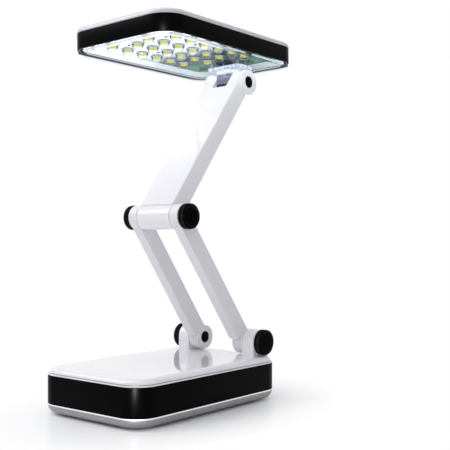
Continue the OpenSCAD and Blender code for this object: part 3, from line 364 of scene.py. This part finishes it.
FINISHES = {
    # polished mould: mirror-like gloss with the faintest orange peel, 1.2 mm apart
    "polished_white_abs": lambda name, hues: moulded(
        name, hues.gloss_white, 0.06, 1.2 * MM, 0.001 * MM, cloud=0.01, wear_and_highlight=0.1, coat=0.2),
    # spark-eroded mould: real grain about 0.1 mm, drawn at 0.7 mm, so that it shows
    "satin_white_abs": lambda name, hues: moulded(
        name, hues.satin_white, 0.4, 0.7 * MM, 0.012 * MM, cloud=0.015, wear_and_highlight=0.2),
    # pearl masterbatch in a fine mould: a soft, even sheen a shade greyer than the deck
    "pearl_white_abs": lambda name, hues: moulded(
        name, hues.pearl_white, 0.24, 1.4 * MM, 0.001 * MM, cloud=0.01, wear_and_highlight=0.15, coat=0.1),
    # deep black gloss: all that shows is a soft line of light on the rounded corners
    "polished_black_abs": lambda name, hues: moulded(
        name, hues.black, 0.3, 1.0 * MM, 0.004 * MM, specular=0.025, wear_and_highlight=0.05, cloud=0.15),
    # small polished plug: black with hardly a glint
    "gloss_black_plug": lambda name, hues: moulded(
        name, linear("030303"), 0.15, 1.0 * MM, 0.003 * MM, specular=0.02, wear_and_highlight=0.02),
    # dry glass-filled nylon: soft sheen, and a painted highlight on the knurl: the ribs' edges painted grey
    # where they would glint, with a little handling scuff
    "knurled_black_nylon": lambda name, hues: moulded(
        name, hues.knob_black, 0.2, 0.5 * MM, 0.003 * MM, specular=0.012, wear_and_highlight=0.6, cloud=0.2, bloom=0.5),
    # spark-eroded grey ABS: matt; the switch slider's own grey, and under the deck a painted shadow for the
    # shaded gap
    "satin_grey_abs": lambda name, hues: moulded(
        name, linear("8C8D92"), 0.4, 0.6 * MM, 0.01 * MM, cloud=0.03),
    # transfer-moulded epoxy: near black and chalky, with a fine tooth
    "black_component_epoxy": lambda name, hues: moulded(
        name, linear("121216"), 0.45, 0.5 * MM, 0.012 * MM, specular=0.08),
    # soft rubber foot: dull, slightly dusty
    "black_rubber": lambda name, hues: moulded(
        name, linear("1B1B1C"), 0.75, 0.5 * MM, 0.02 * MM, specular=0.25, cloud=0.2),
    # filled reflector polymer: dense clean white that throws light back evenly
    "white_reflector_polymer": lambda name, hues: moulded(
        name, linear("FBFBF8"), 0.35, 0.8 * MM, 0.003 * MM, specular=0.15, cloud=0.01, wear_and_highlight=0.0),
    "painted_silver_abs": lambda name, hues: silver_paint(name, tuple(hues.silver)),
    "smoke_polycarbonate": lambda name, hues: smoked_plastic(name, tuple(hues.smoke), linear("F2F4FC")),
    # lens moulded in polystyrene: water-clear, blue along its edges; the low IOR keeps the view in through it
    # at a flat angle free of glare
    "clear_polystyrene": lambda name, hues: clear_plastic(
        name, linear("FFFFFF"), linear("8FB0D0"), 1.04, 1.0),
    # epoxy cast in a cup: clear and thick, dark where it turns away
    "cast_clear_epoxy": lambda name, hues: clear_plastic(
        name, linear("FFFFFF"), linear("65716E"), 1.38, 0.85),
    # zinc plate: bluish bright grey, softly blurred
    "zinc_plated_steel": lambda name, hues: metal(name, linear("C3C6CB"), 0.28),
    # nickel on spring strip: warmer and smoother
    "nickel_spring_strip": lambda name, hues: metal(name, linear("CFCDC6"), 0.22),
    # thin nickel on brass: a yellow cast comes through
    "nickel_plated_brass": lambda name, hues: metal(name, linear("D6CFB8"), 0.2),
    # dipped tin: dull grey
    "tinned_lead": lambda name, hues: metal(name, linear("9FA3AA"), 0.3),
    # copper-flashed screw: pinkish, slightly dull
    "copper_screw": lambda name, hues: metal(name, linear("CFA795"), 0.3),
    "green_solder_mask": lambda name, hues: circuit_board(name, tuple(hues.solder_green), linear("3B8C69")),
    "white_solder_mask": lambda name, hues: circuit_board(
        name, tuple(hues.board_white), linear("D5DCD5"), linear("0F3429")),
    "lit_yellow_phosphor": lambda name, hues: lit_phosphor(name, tuple(hues.phosphor)),
    "aa_cell_sleeve": lambda name, hues: cell_sleeve(name),
}


def finish(name):
    """The finish of that name, made the first time that it is asked for."""
    if name in bpy.data.materials:
        return bpy.data.materials[name]
    return FINISHES[name](name, bpy.context.scene.lamp_colours)


# the solids that are shown as they are, by finish; the others have a finer piece in their place
SHOWN_SOLIDS = {
    "painted_silver_abs": ("base_tray", "battery_door"),
    "polished_white_abs": ("base_deck", "upper_arm"),
    "satin_white_abs": ("leg_left", "leg_right", "leg_cover_left", "leg_cover_right", "arm_cover"),
    "satin_grey_abs": ("switch_slider",),
    "black_component_epoxy": ("board_parts", "dc_jack", "switch_body"),
    "zinc_plated_steel": ("case_screws", "leg_bolts", "elbow_axle", "arm_cover_screws", "head_pin",
                          "bracket_screws"),
    "copper_screw": ("board_screws",),
    "nickel_spring_strip": ("battery_contacts",),
    "nickel_plated_brass": ("dc_pin",),
    "aa_cell_sleeve": ("battery_cells",),
    "green_solder_mask": ("control_board", "driver_board"),
    "white_solder_mask": ("led_board",),
    "smoke_polycarbonate": ("hinge_bracket",),
    "clear_polystyrene": ("head_lens",),
}


# ---- mesh helpers ----

def faces_of(made):
    """The faces in what a bmesh operator made."""
    return [g for g in made["geom"] if isinstance(g, bmesh.types.BMFace)]


def outline(bm, inset, z, long=None):
    """A flat face on the outline of the head, or of a case `long` long, drawn smaller by `inset`."""
    sizes = bpy.context.scene.lamp_sizes
    corners = bmesh.ops.create_grid(bm, x_segments=1, y_segments=1, size=0.5)["verts"]
    bmesh.ops.scale(bm, vec=(sizes.case_w - 2 * inset, (long or sizes.head_l) - 2 * inset, 1), verts=corners)
    bmesh.ops.translate(bm, vec=(0, 0, z), verts=corners)
    bmesh.ops.bevel(bm, geom=corners, offset=sizes.case_r - inset, offset_type="OFFSET", segments=12,
                    profile=0.5, affect="VERTICES", material=-1)
    bm.faces.ensure_lookup_table()
    return max(bm.faces, key=lambda f: len(f.verts))


def ring_slab(bm, long, inset, wall, z, height):
    """A flat ring on the case outline: `wall` thick, from `z` up by `height`."""
    floor = outline(bm, inset, z, long=long)
    bmesh.ops.inset_region(bm, faces=[floor], thickness=wall, depth=0.0, use_even_offset=True,
                           use_boundary=True)
    inner = max(bm.faces, key=lambda f: len(f.verts))
    bmesh.ops.delete(bm, geom=[inner], context="FACES_ONLY")
    raise_faces(bm, bm.faces[:], height)


def extrude(bm, faces):
    """Extrudes faces in place and returns the new ones; the first sheet stays, to close the far side."""
    shared = all(e.is_manifold for f in faces for e in f.edges)
    top = faces_of(bmesh.ops.extrude_face_region(bm, geom=faces))
    if shared:
        bmesh.ops.delete(bm, geom=faces, context="FACES_ONLY")
    return top


def raise_faces(bm, faces, rise):
    """Extrudes faces up by `rise` and returns the new ones."""
    top = extrude(bm, faces)
    bmesh.ops.translate(bm, vec=(0, 0, rise), verts=list({v for f in top for v in f.verts}))
    return top


def ease(bm, edges, offset, segments=3):
    """Rounds edges."""
    bmesh.ops.bevel(bm, geom=edges, offset=offset, offset_type="OFFSET", segments=segments, profile=0.5,
                    affect="EDGES", clamp_overlap=True, material=-1)


def lathe(bm, profile, steps=48):
    """Spins a profile of (radius, height) points about Z into a closed shape."""
    dots = [bm.verts.new((r, 0, z)) for r, z in profile]
    lines = [bm.edges.new(pair) for pair in zip(dots, dots[1:])]
    bmesh.ops.spin(bm, geom=dots + lines, cent=(0, 0, 0), axis=(0, 0, 1), angle=math.tau, steps=steps,
                   use_merge=True)
    bmesh.ops.remove_doubles(bm, verts=bm.verts, dist=1e-6)


def arc(centre, radius, first, last, count):
    """Points on an arc in the (radius, height) plane, angles in degrees."""
    turns = [math.radians(first + (last - first) * i / count) for i in range(count + 1)]
    return [(centre[0] + radius * math.cos(t), centre[1] + radius * math.sin(t)) for t in turns]


def copies(bm, places):
    """Leaves one copy of what is in `bm` at each place, a 4x4 matrix."""
    pattern = bm.verts[:] + bm.edges[:] + bm.faces[:]
    first = bm.verts[:]
    for place in places[1:]:
        made = bmesh.ops.duplicate(bm, geom=pattern)["geom"]
        bmesh.ops.transform(bm, matrix=place, verts=[g for g in made if isinstance(g, bmesh.types.BMVert)])
    bmesh.ops.transform(bm, matrix=places[0], verts=first)


def piece(bm, name, finish_name, body, stands_for=(), sharp=32):
    """Turns a finished, closed bmesh into a piece that rides on its body."""
    bmesh.ops.remove_doubles(bm, verts=bm.verts, dist=1e-7)
    bmesh.ops.recalc_face_normals(bm, faces=bm.faces)
    if any(not e.is_manifold for e in bm.edges):
        raise RuntimeError(f"{name} isn't closed")
    for f in bm.faces:
        f.smooth = True
    for e in bm.edges:
        e.smooth = e.calc_face_angle(0) < math.radians(sharp)
    mesh = bpy.data.meshes.new(name)
    bm.to_mesh(mesh)
    bm.free()
    mesh.materials.append(finish(finish_name))
    made = bpy.data.objects.new(name, mesh)
    bpy.context.scene.collection.objects.link(made)
    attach(made, body)
    if stands_for:
        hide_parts(*stands_for)
    return made


def head_place():
    """From the middle of the head at its band's lower edge to the lamp's own frame."""
    sizes = bpy.context.scene.lamp_sizes
    pin_y = sizes.head_l / 2 - sizes.head_pin_in
    return (Matrix.Translation(PIVOTS["head_hinge"]) @ Matrix.Rotation(HEAD_TILT, 4, "X")
            @ Matrix.Translation((0, -pin_y, sizes.pin_to_band)))


def led_spots():
    """Middles of the 24 LEDs, in four staggered rows, seen from the middle of the head."""
    sizes = bpy.context.scene.lamp_sizes
    return [((row - 1.5) * sizes.led_row_pitch, -sizes.led_first + (col + 0.5 * (row % 2)) * sizes.led_pitch)
            for row in range(4) for col in range(6)]


# ---- operators, one for each group of pieces ----

class LAMP_OT_finishes(bpy.types.Operator):
    """Gives every solid that is shown as it is its real finish"""
    bl_idname = "lamp.finishes"
    bl_label = "Finishes"

    def execute(self, context):
        for name, nodes in SHOWN_SOLIDS.items():
            for node in nodes:
                mesh = NODES[node].data
                mesh.materials.clear()
                mesh.materials.append(finish(name))
        return {"FINISHED"}


class LAMP_OT_base_band(bpy.types.Operator):
    """Black side band of the base, with rounded top and bottom edges"""
    bl_idname = "lamp.base_band"
    bl_label = "Base band"

    def execute(self, context):
        sizes = context.scene.lamp_sizes
        bm = bmesh.new()
        bm.from_mesh(NODES["base_band"].data)
        bmesh.ops.remove_doubles(bm, verts=bm.verts, dist=2e-6)
        bmesh.ops.dissolve_limit(bm, angle_limit=math.radians(0.6), verts=bm.verts[:], edges=bm.edges[:])
        low, high = BAND_BOX[0].z, BAND_BOX[1].z
        rim = [e for e in bm.edges if outer_edge(e, sizes, sizes.case_l)
               and any(all(abs(v.co.z - z) < 1e-5 for v in e.verts) for z in (low, high))]
        ease(bm, rim, sizes.band_ease)
        piece(bm, "side_band", "polished_black_abs", "base", ["base_band"])
        return {"FINISHED"}


def outer_edge(edge, sizes, long):
    """Whether an edge lies on the outside of the case outline."""
    half_w, half_l, r = sizes.case_w / 2, long / 2, sizes.case_r
    for v in edge.verts:
        x, y = abs(v.co.x), abs(v.co.y)
        if x > half_w - r and y > half_l - r:
            gap = r - math.hypot(x - half_w + r, y - half_l + r)
        else:
            gap = min(half_w - x, half_l - y)
        if gap > 0.05 * MM:
            return False
    return True


class LAMP_OT_deck_shadow_ring(bpy.types.Operator):
    """Painted shadow: a grey ring in the step between the raised deck and its lip, that stands for the shaded
    gap there
    """
    bl_idname = "lamp.deck_gasket"
    bl_label = "Deck shadow ring"

    def execute(self, context):
        sizes = context.scene.lamp_sizes
        bm = bmesh.new()
        foot = BAND_BOX[1].z + sizes.deck_lip
        ring_slab(bm, sizes.case_l, sizes.deck_in - 0.08 * MM, 0.4 * MM, foot, 0.42 * MM)
        # grey ring that paints the shadow in the gap under the raised deck
        piece(bm, "deck_gasket", "satin_grey_abs", "base")
        return {"FINISHED"}


class LAMP_OT_feet(bpy.types.Operator):
    """Four rubber feet with a rounded rim and a dished sole"""
    bl_idname = "lamp.feet"
    bl_label = "Feet"

    def execute(self, context):
        sizes = context.scene.lamp_sizes
        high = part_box("feet")[1]
        r, top = sizes.foot_r, high.z
        bm = bmesh.new()
        lathe(bm, [(0, 0.25 * MM), (r - 1.6 * MM, 0.25 * MM), (r - 1.3 * MM, 0)]
              + arc((r - 0.4 * MM, 0.4 * MM), 0.4 * MM, -90, 0, 4) + [(r, top), (0, top)])
        x, y = high.x - r, high.y - r
        copies(bm, [Matrix.Translation((sx * x, sy * y, 0)) for sx in (-1, 1) for sy in (-1, 1)])
        piece(bm, "rubber_feet", "black_rubber", "base", ["feet"])
        return {"FINISHED"}


class LAMP_OT_knobs(bpy.types.Operator):
    """Four clamping knobs: a knurled ring behind a smooth rim with a dished face"""
    bl_idname = "lamp.knobs"
    bl_label = "Clamping knobs"

    def execute(self, context):
        sizes = context.scene.lamp_sizes
        for node, body, side, r in (("knob_base_left", "base_knob_l", -1, sizes.base_knob_r),
                                    ("knob_base_right", "base_knob_r", 1, sizes.base_knob_r),
                                    ("knob_elbow_left", "elbow_knob_l", -1, sizes.elbow_knob_r),
                                    ("knob_elbow_right", "elbow_knob_r", 1, sizes.elbow_knob_r)):
            low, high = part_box(node)
            seat = low.x if side > 0 else high.x
            middle = (low + high) / 2
            bm = self.knob(r, sizes.knob_t, sizes.knob_ribs)
            place = (Matrix.Translation((seat, middle.y, middle.z))
                     @ Matrix.Rotation(math.radians(90 * side), 4, "Y"))
            bmesh.ops.transform(bm, matrix=place, verts=bm.verts)
            piece(bm, node.replace("knob", "clamp_knob"), "knurled_black_nylon", body, [node],
                  sharp=50)
        return {"FINISHED"}

    @staticmethod
    def knob(r, t, ribs):
        """A knob along +Z with its seat at z = 0."""
        bm = bmesh.new()
        bmesh.ops.create_circle(bm, cap_ends=True, radius=1.0, segments=ribs * 6)
        bm.faces.ensure_lookup_table()
        face = bm.faces[0]

        def rim(at, radius, depth):
            """Shapes the current face's rim: a circle with `depth` deep grooves between the ribs."""
            for v in face.verts:
                turn = math.atan2(v.co.y, v.co.x)
                groove = max(0.0, math.cos(turn * ribs)) ** 1.5
                reach = radius - depth * groove
                v.co = (reach * math.cos(turn), reach * math.sin(turn), at)

        rim(0, r - 0.7 * MM, 0.15 * MM)
        # height, radius and groove depth, from the seat to the dished face
        for at, radius, depth in ((0.35 * MM, r - 0.05 * MM, 0.4 * MM), (t - 1.75 * MM, r, 0.42 * MM),
                                  (t - 1.45 * MM, r - 0.45 * MM, 0.1 * MM), (t - 1.35 * MM, r - 0.5 * MM, 0),
                                  (t - 1.2 * MM, r - 0.2 * MM, 0), (t - 0.6 * MM, r - 0.15 * MM, 0),
                                  (t - 0.2 * MM, r - 0.45 * MM, 0), (t, r - 0.9 * MM, 0),
                                  (t, r - 1.5 * MM, 0), (t - 0.15 * MM, r - 1.75 * MM, 0),
                                  (t - 0.45 * MM, r - 1.95 * MM, 0), (t - 0.4 * MM, r * 0.5, 0),
                                  (t - 0.36 * MM, r * 0.12, 0)):
            face = extrude(bm, [face])[0]
            rim(at, radius, depth)
        return bm


class LAMP_OT_pin_caps(bpy.types.Operator):
    """Black domed caps over the hinge pins, two on the leg knuckles and two on the ears"""
    bl_idname = "lamp.pin_caps"
    bl_label = "Pin caps"

    def execute(self, context):
        sizes = context.scene.lamp_sizes
        r, rise = sizes.cap_r, sizes.cap_dome
        ball = (r * r + rise * rise) / (2 * rise)
        spread = math.degrees(math.asin((r - 0.3 * MM) / ball))
        # facing: 1 away from the middle of the lamp, -1 toward it
        for name, node, body, pivot, facing in (("leg_pin_caps", "leg_caps", "legs", "base_hinge", -1),
                                                ("ear_pin_caps", "ear_caps", "arm", "head_hinge", 1)):
            # from the far side of the caps back to the plane of their rims
            rim_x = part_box(node)[1].x - (rise if facing > 0 else CAP_DEEP)
            bm = bmesh.new()
            lathe(bm, [(0, -CAP_DEEP), (r, -CAP_DEEP), (r, -0.1 * MM), (r - 0.08 * MM, 0.0)]
                  + arc((0, rise - ball), ball, 90 - spread, 90, 8)[:-1] + [(0, rise)], steps=56)
            copies(bm, [Matrix.Translation(PIVOTS[pivot] + Vector((side * rim_x, 0, 0)))
                        @ Matrix.Rotation(math.radians(90 * side * facing), 4, "Y") for side in (-1, 1)])
            piece(bm, name, "gloss_black_plug", body, [node])
        return {"FINISHED"}


class LAMP_OT_head_shell(bpy.types.Operator):
    """Top cover and black band of the head, with rolled edges and a parting line between them"""
    bl_idname = "lamp.head_shell"
    bl_label = "Head shell"

    def execute(self, context):
        sizes = context.scene.lamp_sizes
        # cover: a seat drawn in by the parting line, then the rolled slab
        bm = bmesh.new()
        top = raise_faces(bm, [outline(bm, sizes.seam, sizes.head_band_h)], 0.25 * MM)
        top = extrude(bm, top)
        bmesh.ops.scale(bm, vec=(sizes.case_w / (sizes.case_w - 2 * sizes.seam),
                                 sizes.head_l / (sizes.head_l - 2 * sizes.seam), 1),
                        verts=list({v for f in top for v in f.verts}))
        top = raise_faces(bm, top, sizes.cover_h - 0.25 * MM)
        ease(bm, [e for f in top for e in f.edges], sizes.cover_roll, segments=7)
        bmesh.ops.transform(bm, matrix=head_place(), verts=bm.verts)
        piece(bm, "head_top_cover", "pearl_white_abs", "head", ["head_cover"])

        bm = bmesh.new()
        ring_slab(bm, sizes.head_l, 0.0, sizes.band_wall, 0.0, sizes.head_band_h)
        rim = [e for e in bm.edges
               if e.is_manifold and e.calc_face_angle(0) > 1.2 and outer_edge(e, sizes, sizes.head_l)]
        ease(bm, rim, sizes.band_ease)
        bmesh.ops.transform(bm, matrix=head_place(), verts=bm.verts)
        piece(bm, "head_side_band", "polished_black_abs", "head", ["head_band"])
        return {"FINISHED"}


class LAMP_OT_leds(bpy.types.Operator):
    """24 straw-hat LEDs: clear dome, white cup with its brim, yellow phosphor, and two leads cast inside"""
    bl_idname = "lamp.leds"
    bl_label = "LEDs"

    def execute(self, context):
        sizes = context.scene.lamp_sizes
        # the rim stands a little off the board on the leads
        seat, r = sizes.board_z - sizes.led_stand, sizes.led_r
        tip, rise = sizes.board_z - sizes.led_drop, 3.0 * MM
        ball = (r * r + rise * rise) / (2 * rise)
        spread = math.degrees(math.asin(r / ball))
        places = [head_place() @ Matrix.Translation((x, y, 0)) for x, y in led_spots()]
        spun = [place @ Matrix.Rotation(math.radians(40), 4, "Z") for place in places]

        bm = bmesh.new()
        rim = sizes.led_rim_r
        lathe(bm, [(0, tip)] + arc((0, tip + ball), ball, -90, spread - 90, 9)[1:]
              + [(r, seat - 0.85 * MM), (r + 0.15 * MM, seat - 0.75 * MM), (rim - 0.1 * MM, seat - 0.7 * MM),
                 (rim, seat - 0.6 * MM), (rim, seat), (0, seat)], steps=40)
        copies(bm, places)
        piece(bm, "led_lenses", "cast_clear_epoxy", "head", ["led_domes"])

        # cup pressed into the end of one lead
        bm = bmesh.new()
        brim = rim - 0.9 * MM
        lathe(bm, [(0, seat - 0.7 * MM), (1.5 * MM, seat - 0.7 * MM), (2.15 * MM, seat - 1.0 * MM),
                   (2.35 * MM, seat - 1.0 * MM), (2.35 * MM, seat - 0.7 * MM), (2.1 * MM, seat - 0.32 * MM),
                   (brim, seat - 0.28 * MM), (brim, seat - 0.06 * MM), (0, seat - 0.06 * MM)], steps=28)
        copies(bm, places)
        piece(bm, "led_reflector_cups", "white_reflector_polymer", "head", ["led_cups"])

        bm = bmesh.new()
        lathe(bm, [(0, seat - 1.9 * MM), (0.8 * MM, seat - 1.8 * MM), (1.4 * MM, seat - 1.5 * MM),
                   (1.7 * MM, seat - 1.1 * MM), (1.7 * MM, seat - 0.85 * MM), (1.4 * MM, seat - 0.75 * MM),
                   (0, seat - 0.75 * MM)], steps=24)
        copies(bm, places)
        piece(bm, "led_phosphor_dots", "lit_yellow_phosphor", "head", ["led_chips"])

        # anvil and post beside the cup, down to the board
        bm = bmesh.new()
        for x, wide, deep in ((-3.1, 1.2, 2.2), (3.1, 0.9, 1.8)):
            tall = deep * MM + sizes.led_stand
            made = bmesh.ops.create_cube(bm, size=1.0)["verts"]
            bmesh.ops.scale(bm, vec=(wide * MM, 1.5 * MM, tall), verts=made)
            bmesh.ops.translate(bm, vec=(x * MM, 0, sizes.board_z - tall / 2), verts=made)
        ease(bm, bm.edges[:], 0.12 * MM, 1)
        copies(bm, spun)
        piece(bm, "led_leads", "black_component_epoxy", "head")
        return {"FINISHED"}


class LAMP_OT_liner(bpy.types.Operator):
    """White wall round the LEDs, inside the black band of the head"""
    bl_idname = "lamp.liner"
    bl_label = "Liner"

    def execute(self, context):
        sizes = context.scene.lamp_sizes
        bm = bmesh.new()
        ring_slab(bm, sizes.head_l, sizes.liner_in, sizes.liner_wall, sizes.liner_z,
                  sizes.board_z - 0.15 * MM - sizes.liner_z)
        bmesh.ops.transform(bm, matrix=head_place(), verts=bm.verts)
        piece(bm, "head_liner", "white_reflector_polymer", "head")
        return {"FINISHED"}


class LAMP_OT_board_parts(bpy.types.Operator):
    """Nine chip resistors soldered under the LED board, with their tinned ends"""
    bl_idname = "lamp.board_parts"
    bl_label = "Board parts"

    def execute(self, context):
        sizes = context.scene.lamp_sizes
        spots = [(x * MM, y * MM) for x in (-18, 0, 18) for y in (-42, -11.5, 19)]
        # offsets along X and sizes, in mm
        for name, finish_name, slot, offsets, size in (
                ("chip_resistors", "black_component_epoxy", "component_black", (0,), (1.6, 1.5, 0.6)),
                ("chip_resistor_ends", "tinned_lead", "zinc_steel", (-1.05, 1.05), (0.5, 1.6, 0.65))):
            bm = bmesh.new()
            for offset in offsets:
                made = bmesh.ops.create_cube(bm, size=1.0)["verts"]
                bmesh.ops.scale(bm, vec=Vector(size) * MM, verts=made)
                bmesh.ops.translate(bm, vec=(offset * MM, 0, sizes.board_z - size[2] * MM / 2), verts=made)
            ease(bm, bm.edges[:], 0.08 * MM, 1)
            copies(bm, [head_place() @ Matrix.Translation((x, y, 0)) for x, y in spots])
            piece(bm, name, finish_name, "head")
        return {"FINISHED"}


class LAMP_OT_stage(bpy.types.Operator):
    """Pale floor, soft studio light and the camera"""
    bl_idname = "lamp.stage"
    bl_label = "Stage"

    def execute(self, context):
        scene = context.scene
        scene.view_settings.view_transform = "Standard"
        self.floor()
        self.world(scene)
        self.lamps()
        self.camera(scene)
        return {"FINISHED"}

    @staticmethod
    def shown_rays(tree):
        """1 for the rays that show the backdrop, straight, in a reflection or through glass."""
        path = add(tree, "ShaderNodeLightPath")
        seen = add(tree, "ShaderNodeMath", {"operation": "MAXIMUM"},
                   {0: path.outputs["Is Camera Ray"], 1: path.outputs["Is Glossy Ray"]})
        return add(tree, "ShaderNodeMath", {"operation": "MAXIMUM"},
                   {0: seen.outputs[0], 1: path.outputs["Is Transmission Ray"]}).outputs[0]

    def floor(self):
        material, tree = start("pale_floor")
        spot = add(tree, "ShaderNodeTexCoord").outputs["Object"]
        # stretched as the base is, so that the shadow fades alike past its sides and its ends
        ring = add(tree, "ShaderNodeVectorMath", {"operation": "MULTIPLY"}, {0: spot, 1: (1.5, 1.0, 1.0)})
        away = add(tree, "ShaderNodeVectorMath", {"operation": "LENGTH"}, {0: ring.outputs["Vector"]})
        # the floor shows all of its shadow as far as the base's ends, and is plain white twice as far out
        share = add(tree, "ShaderNodeMapRange", None,
                    {"Value": away.outputs["Value"], "From Min": 80 * MM, "From Max": 160 * MM})
        share = add(tree, "ShaderNodeMath", {"operation": "MULTIPLY"},
                    {0: share.outputs["Result"], 1: self.shown_rays(tree)})
        sheet = add(tree, "ShaderNodeBsdfPrincipled", None,
                    {"Base Color": linear("F6F6F8"), "Roughness": 0.32, "IOR": 1.5,
                     "Specular IOR Level": 0.3})
        glow = add(tree, "ShaderNodeEmission", None, {"Color": (1, 1, 1, 1), "Strength": 1.0})
        mixed = add(tree, "ShaderNodeMixShader", None,
                    {0: share.outputs[0], 1: sheet.outputs[0], 2: glow.outputs[0]})
        add(tree, "ShaderNodeOutputMaterial", None, {"Surface": mixed.outputs[0]})
        bm = bmesh.new()
        bmesh.ops.create_grid(bm, x_segments=1, y_segments=1, size=12)
        mesh = bpy.data.meshes.new("floor")
        bm.to_mesh(mesh)
        bm.free()
        mesh.materials.append(material)
        floor = bpy.data.objects.new("floor", mesh)
        bpy.context.scene.collection.objects.link(floor)

    def world(self, scene):
        world = bpy.data.worlds.new("soft_studio")
        world.use_nodes = True
        tree = world.node_tree
        tree.nodes.clear()
        soft = add(tree, "ShaderNodeBackground", None, {"Color": linear("F4F6FA"), "Strength": 0.48})
        white = add(tree, "ShaderNodeBackground", None, {"Color": (1, 1, 1, 1), "Strength": 1.0})
        mixed = add(tree, "ShaderNodeMixShader", None,
                    {0: self.shown_rays(tree), 1: soft.outputs[0], 2: white.outputs[0]})
        add(tree, "ShaderNodeOutputWorld", None, {"Surface": mixed.outputs[0]})
        scene.world = world

    @staticmethod
    def lamps():
        target = Vector((0, 0, 0.12))
        # place, width and height in metres, power in watts
        for name, at, wide, high, power in (("top_softbox", (-0.1, -0.1, 1.5), 1.2, 1.2, 9.4),
                                            ("key_softbox", (-0.85, -0.75, 1.05), 0.7, 0.7, 6.7),
                                            ("low_fill", (0.95, -0.25, 0.08), 0.5, 0.14, 0.25),
                                            ("edge_strip", (0.6, -1.04, 0.1), 0.1, 0.2, 34.0)):
            data = bpy.data.lights.new(name, "AREA")
            data.shape = "RECTANGLE"
            data.size, data.size_y = wide, high
            data.energy = power
            lamp = bpy.data.objects.new(name, data)
            lamp.location = at
            lamp.rotation_euler = (target - Vector(at)).to_track_quat("-Z", "Y").to_euler()
            # the fill gives no glints, and the strip only a soft line of gloss on rounded black corners
            lamp.visible_glossy = name != "low_fill"
            lamp.visible_diffuse = name != "edge_strip"
            bpy.context.scene.collection.objects.link(lamp)
        # the lamp's own light, which goes where the head goes: out of the lens, and thrown back inside it
        for name, height, turn, power in (("led_light", -3.5 * MM, 0, 0.042),
                                          ("lens_glow", -0.9 * MM, 180, 0.06)):
            data = bpy.data.lights.new(name, "AREA")
            data.shape = "RECTANGLE"
            data.size, data.size_y = 0.084, 0.13
            data.energy = power
            glow = bpy.data.objects.new(name, data)
            glow.matrix_world = (head_place() @ Matrix.Translation((0, -2 * MM, height))
                                 @ Matrix.Rotation(math.radians(turn), 4, "X"))
            for ray in ("camera", "glossy", "transmission"):
                setattr(glow, "visible_" + ray, False)
            bpy.context.scene.collection.objects.link(glow)
            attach(glow, "head")

    @staticmethod
    def camera(scene):
        # level view from front right at 115 mm above the floor
        data = bpy.data.cameras.new("camera")
        data.sensor_width = 36.0
        data.lens = 63.14
        data.shift_y = 0.0424
        data.clip_start = 0.01
        data.clip_end = 50
        camera = bpy.data.objects.new("camera", data)
        camera.location = (0.3876, -0.41275, 0.1152)
        camera.rotation_euler = (math.radians(90), 0, math.radians(38.88))
        scene.collection.objects.link(camera)
        scene.camera = camera


class LAMP_PT_panel(bpy.types.Panel):
    """Sizes, colours and steps of the lamp"""
    bl_idname = "LAMP_PT_panel"
    bl_label = "Folding desk lamp"
    bl_space_type = "VIEW_3D"
    bl_region_type = "UI"
    bl_category = "Lamp"

    def draw(self, context):
        for group in (context.scene.lamp_sizes, context.scene.lamp_colours):
            box = self.layout.box()
            for key in type(group).__annotations__:
                box.prop(group, key)
        for step in STEPS:
            self.layout.operator(step.bl_idname)


STEPS = (LAMP_OT_finishes, LAMP_OT_base_band, LAMP_OT_deck_shadow_ring, LAMP_OT_feet, LAMP_OT_knobs,
         LAMP_OT_pin_caps, LAMP_OT_head_shell, LAMP_OT_leds, LAMP_OT_liner, LAMP_OT_board_parts,
         LAMP_OT_stage)
CLASSES = (LampSizes, LampColours) + STEPS + (LAMP_PT_panel,)


def register():
    for cls in CLASSES:
        bpy.utils.register_class(cls)
    bpy.types.Scene.lamp_sizes = PointerProperty(type=LampSizes)
    bpy.types.Scene.lamp_colours = PointerProperty(type=LampColours)


def unregister():
    del bpy.types.Scene.lamp_colours
    del bpy.types.Scene.lamp_sizes
    for cls in reversed(CLASSES):
        bpy.utils.unregister_class(cls)


def main():
    """Registers the add-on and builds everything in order."""
    register()
    for step in STEPS:
        group, name = step.bl_idname.split(".")
        getattr(getattr(bpy.ops, group), name)()


if __name__ == "__main__":
    main()
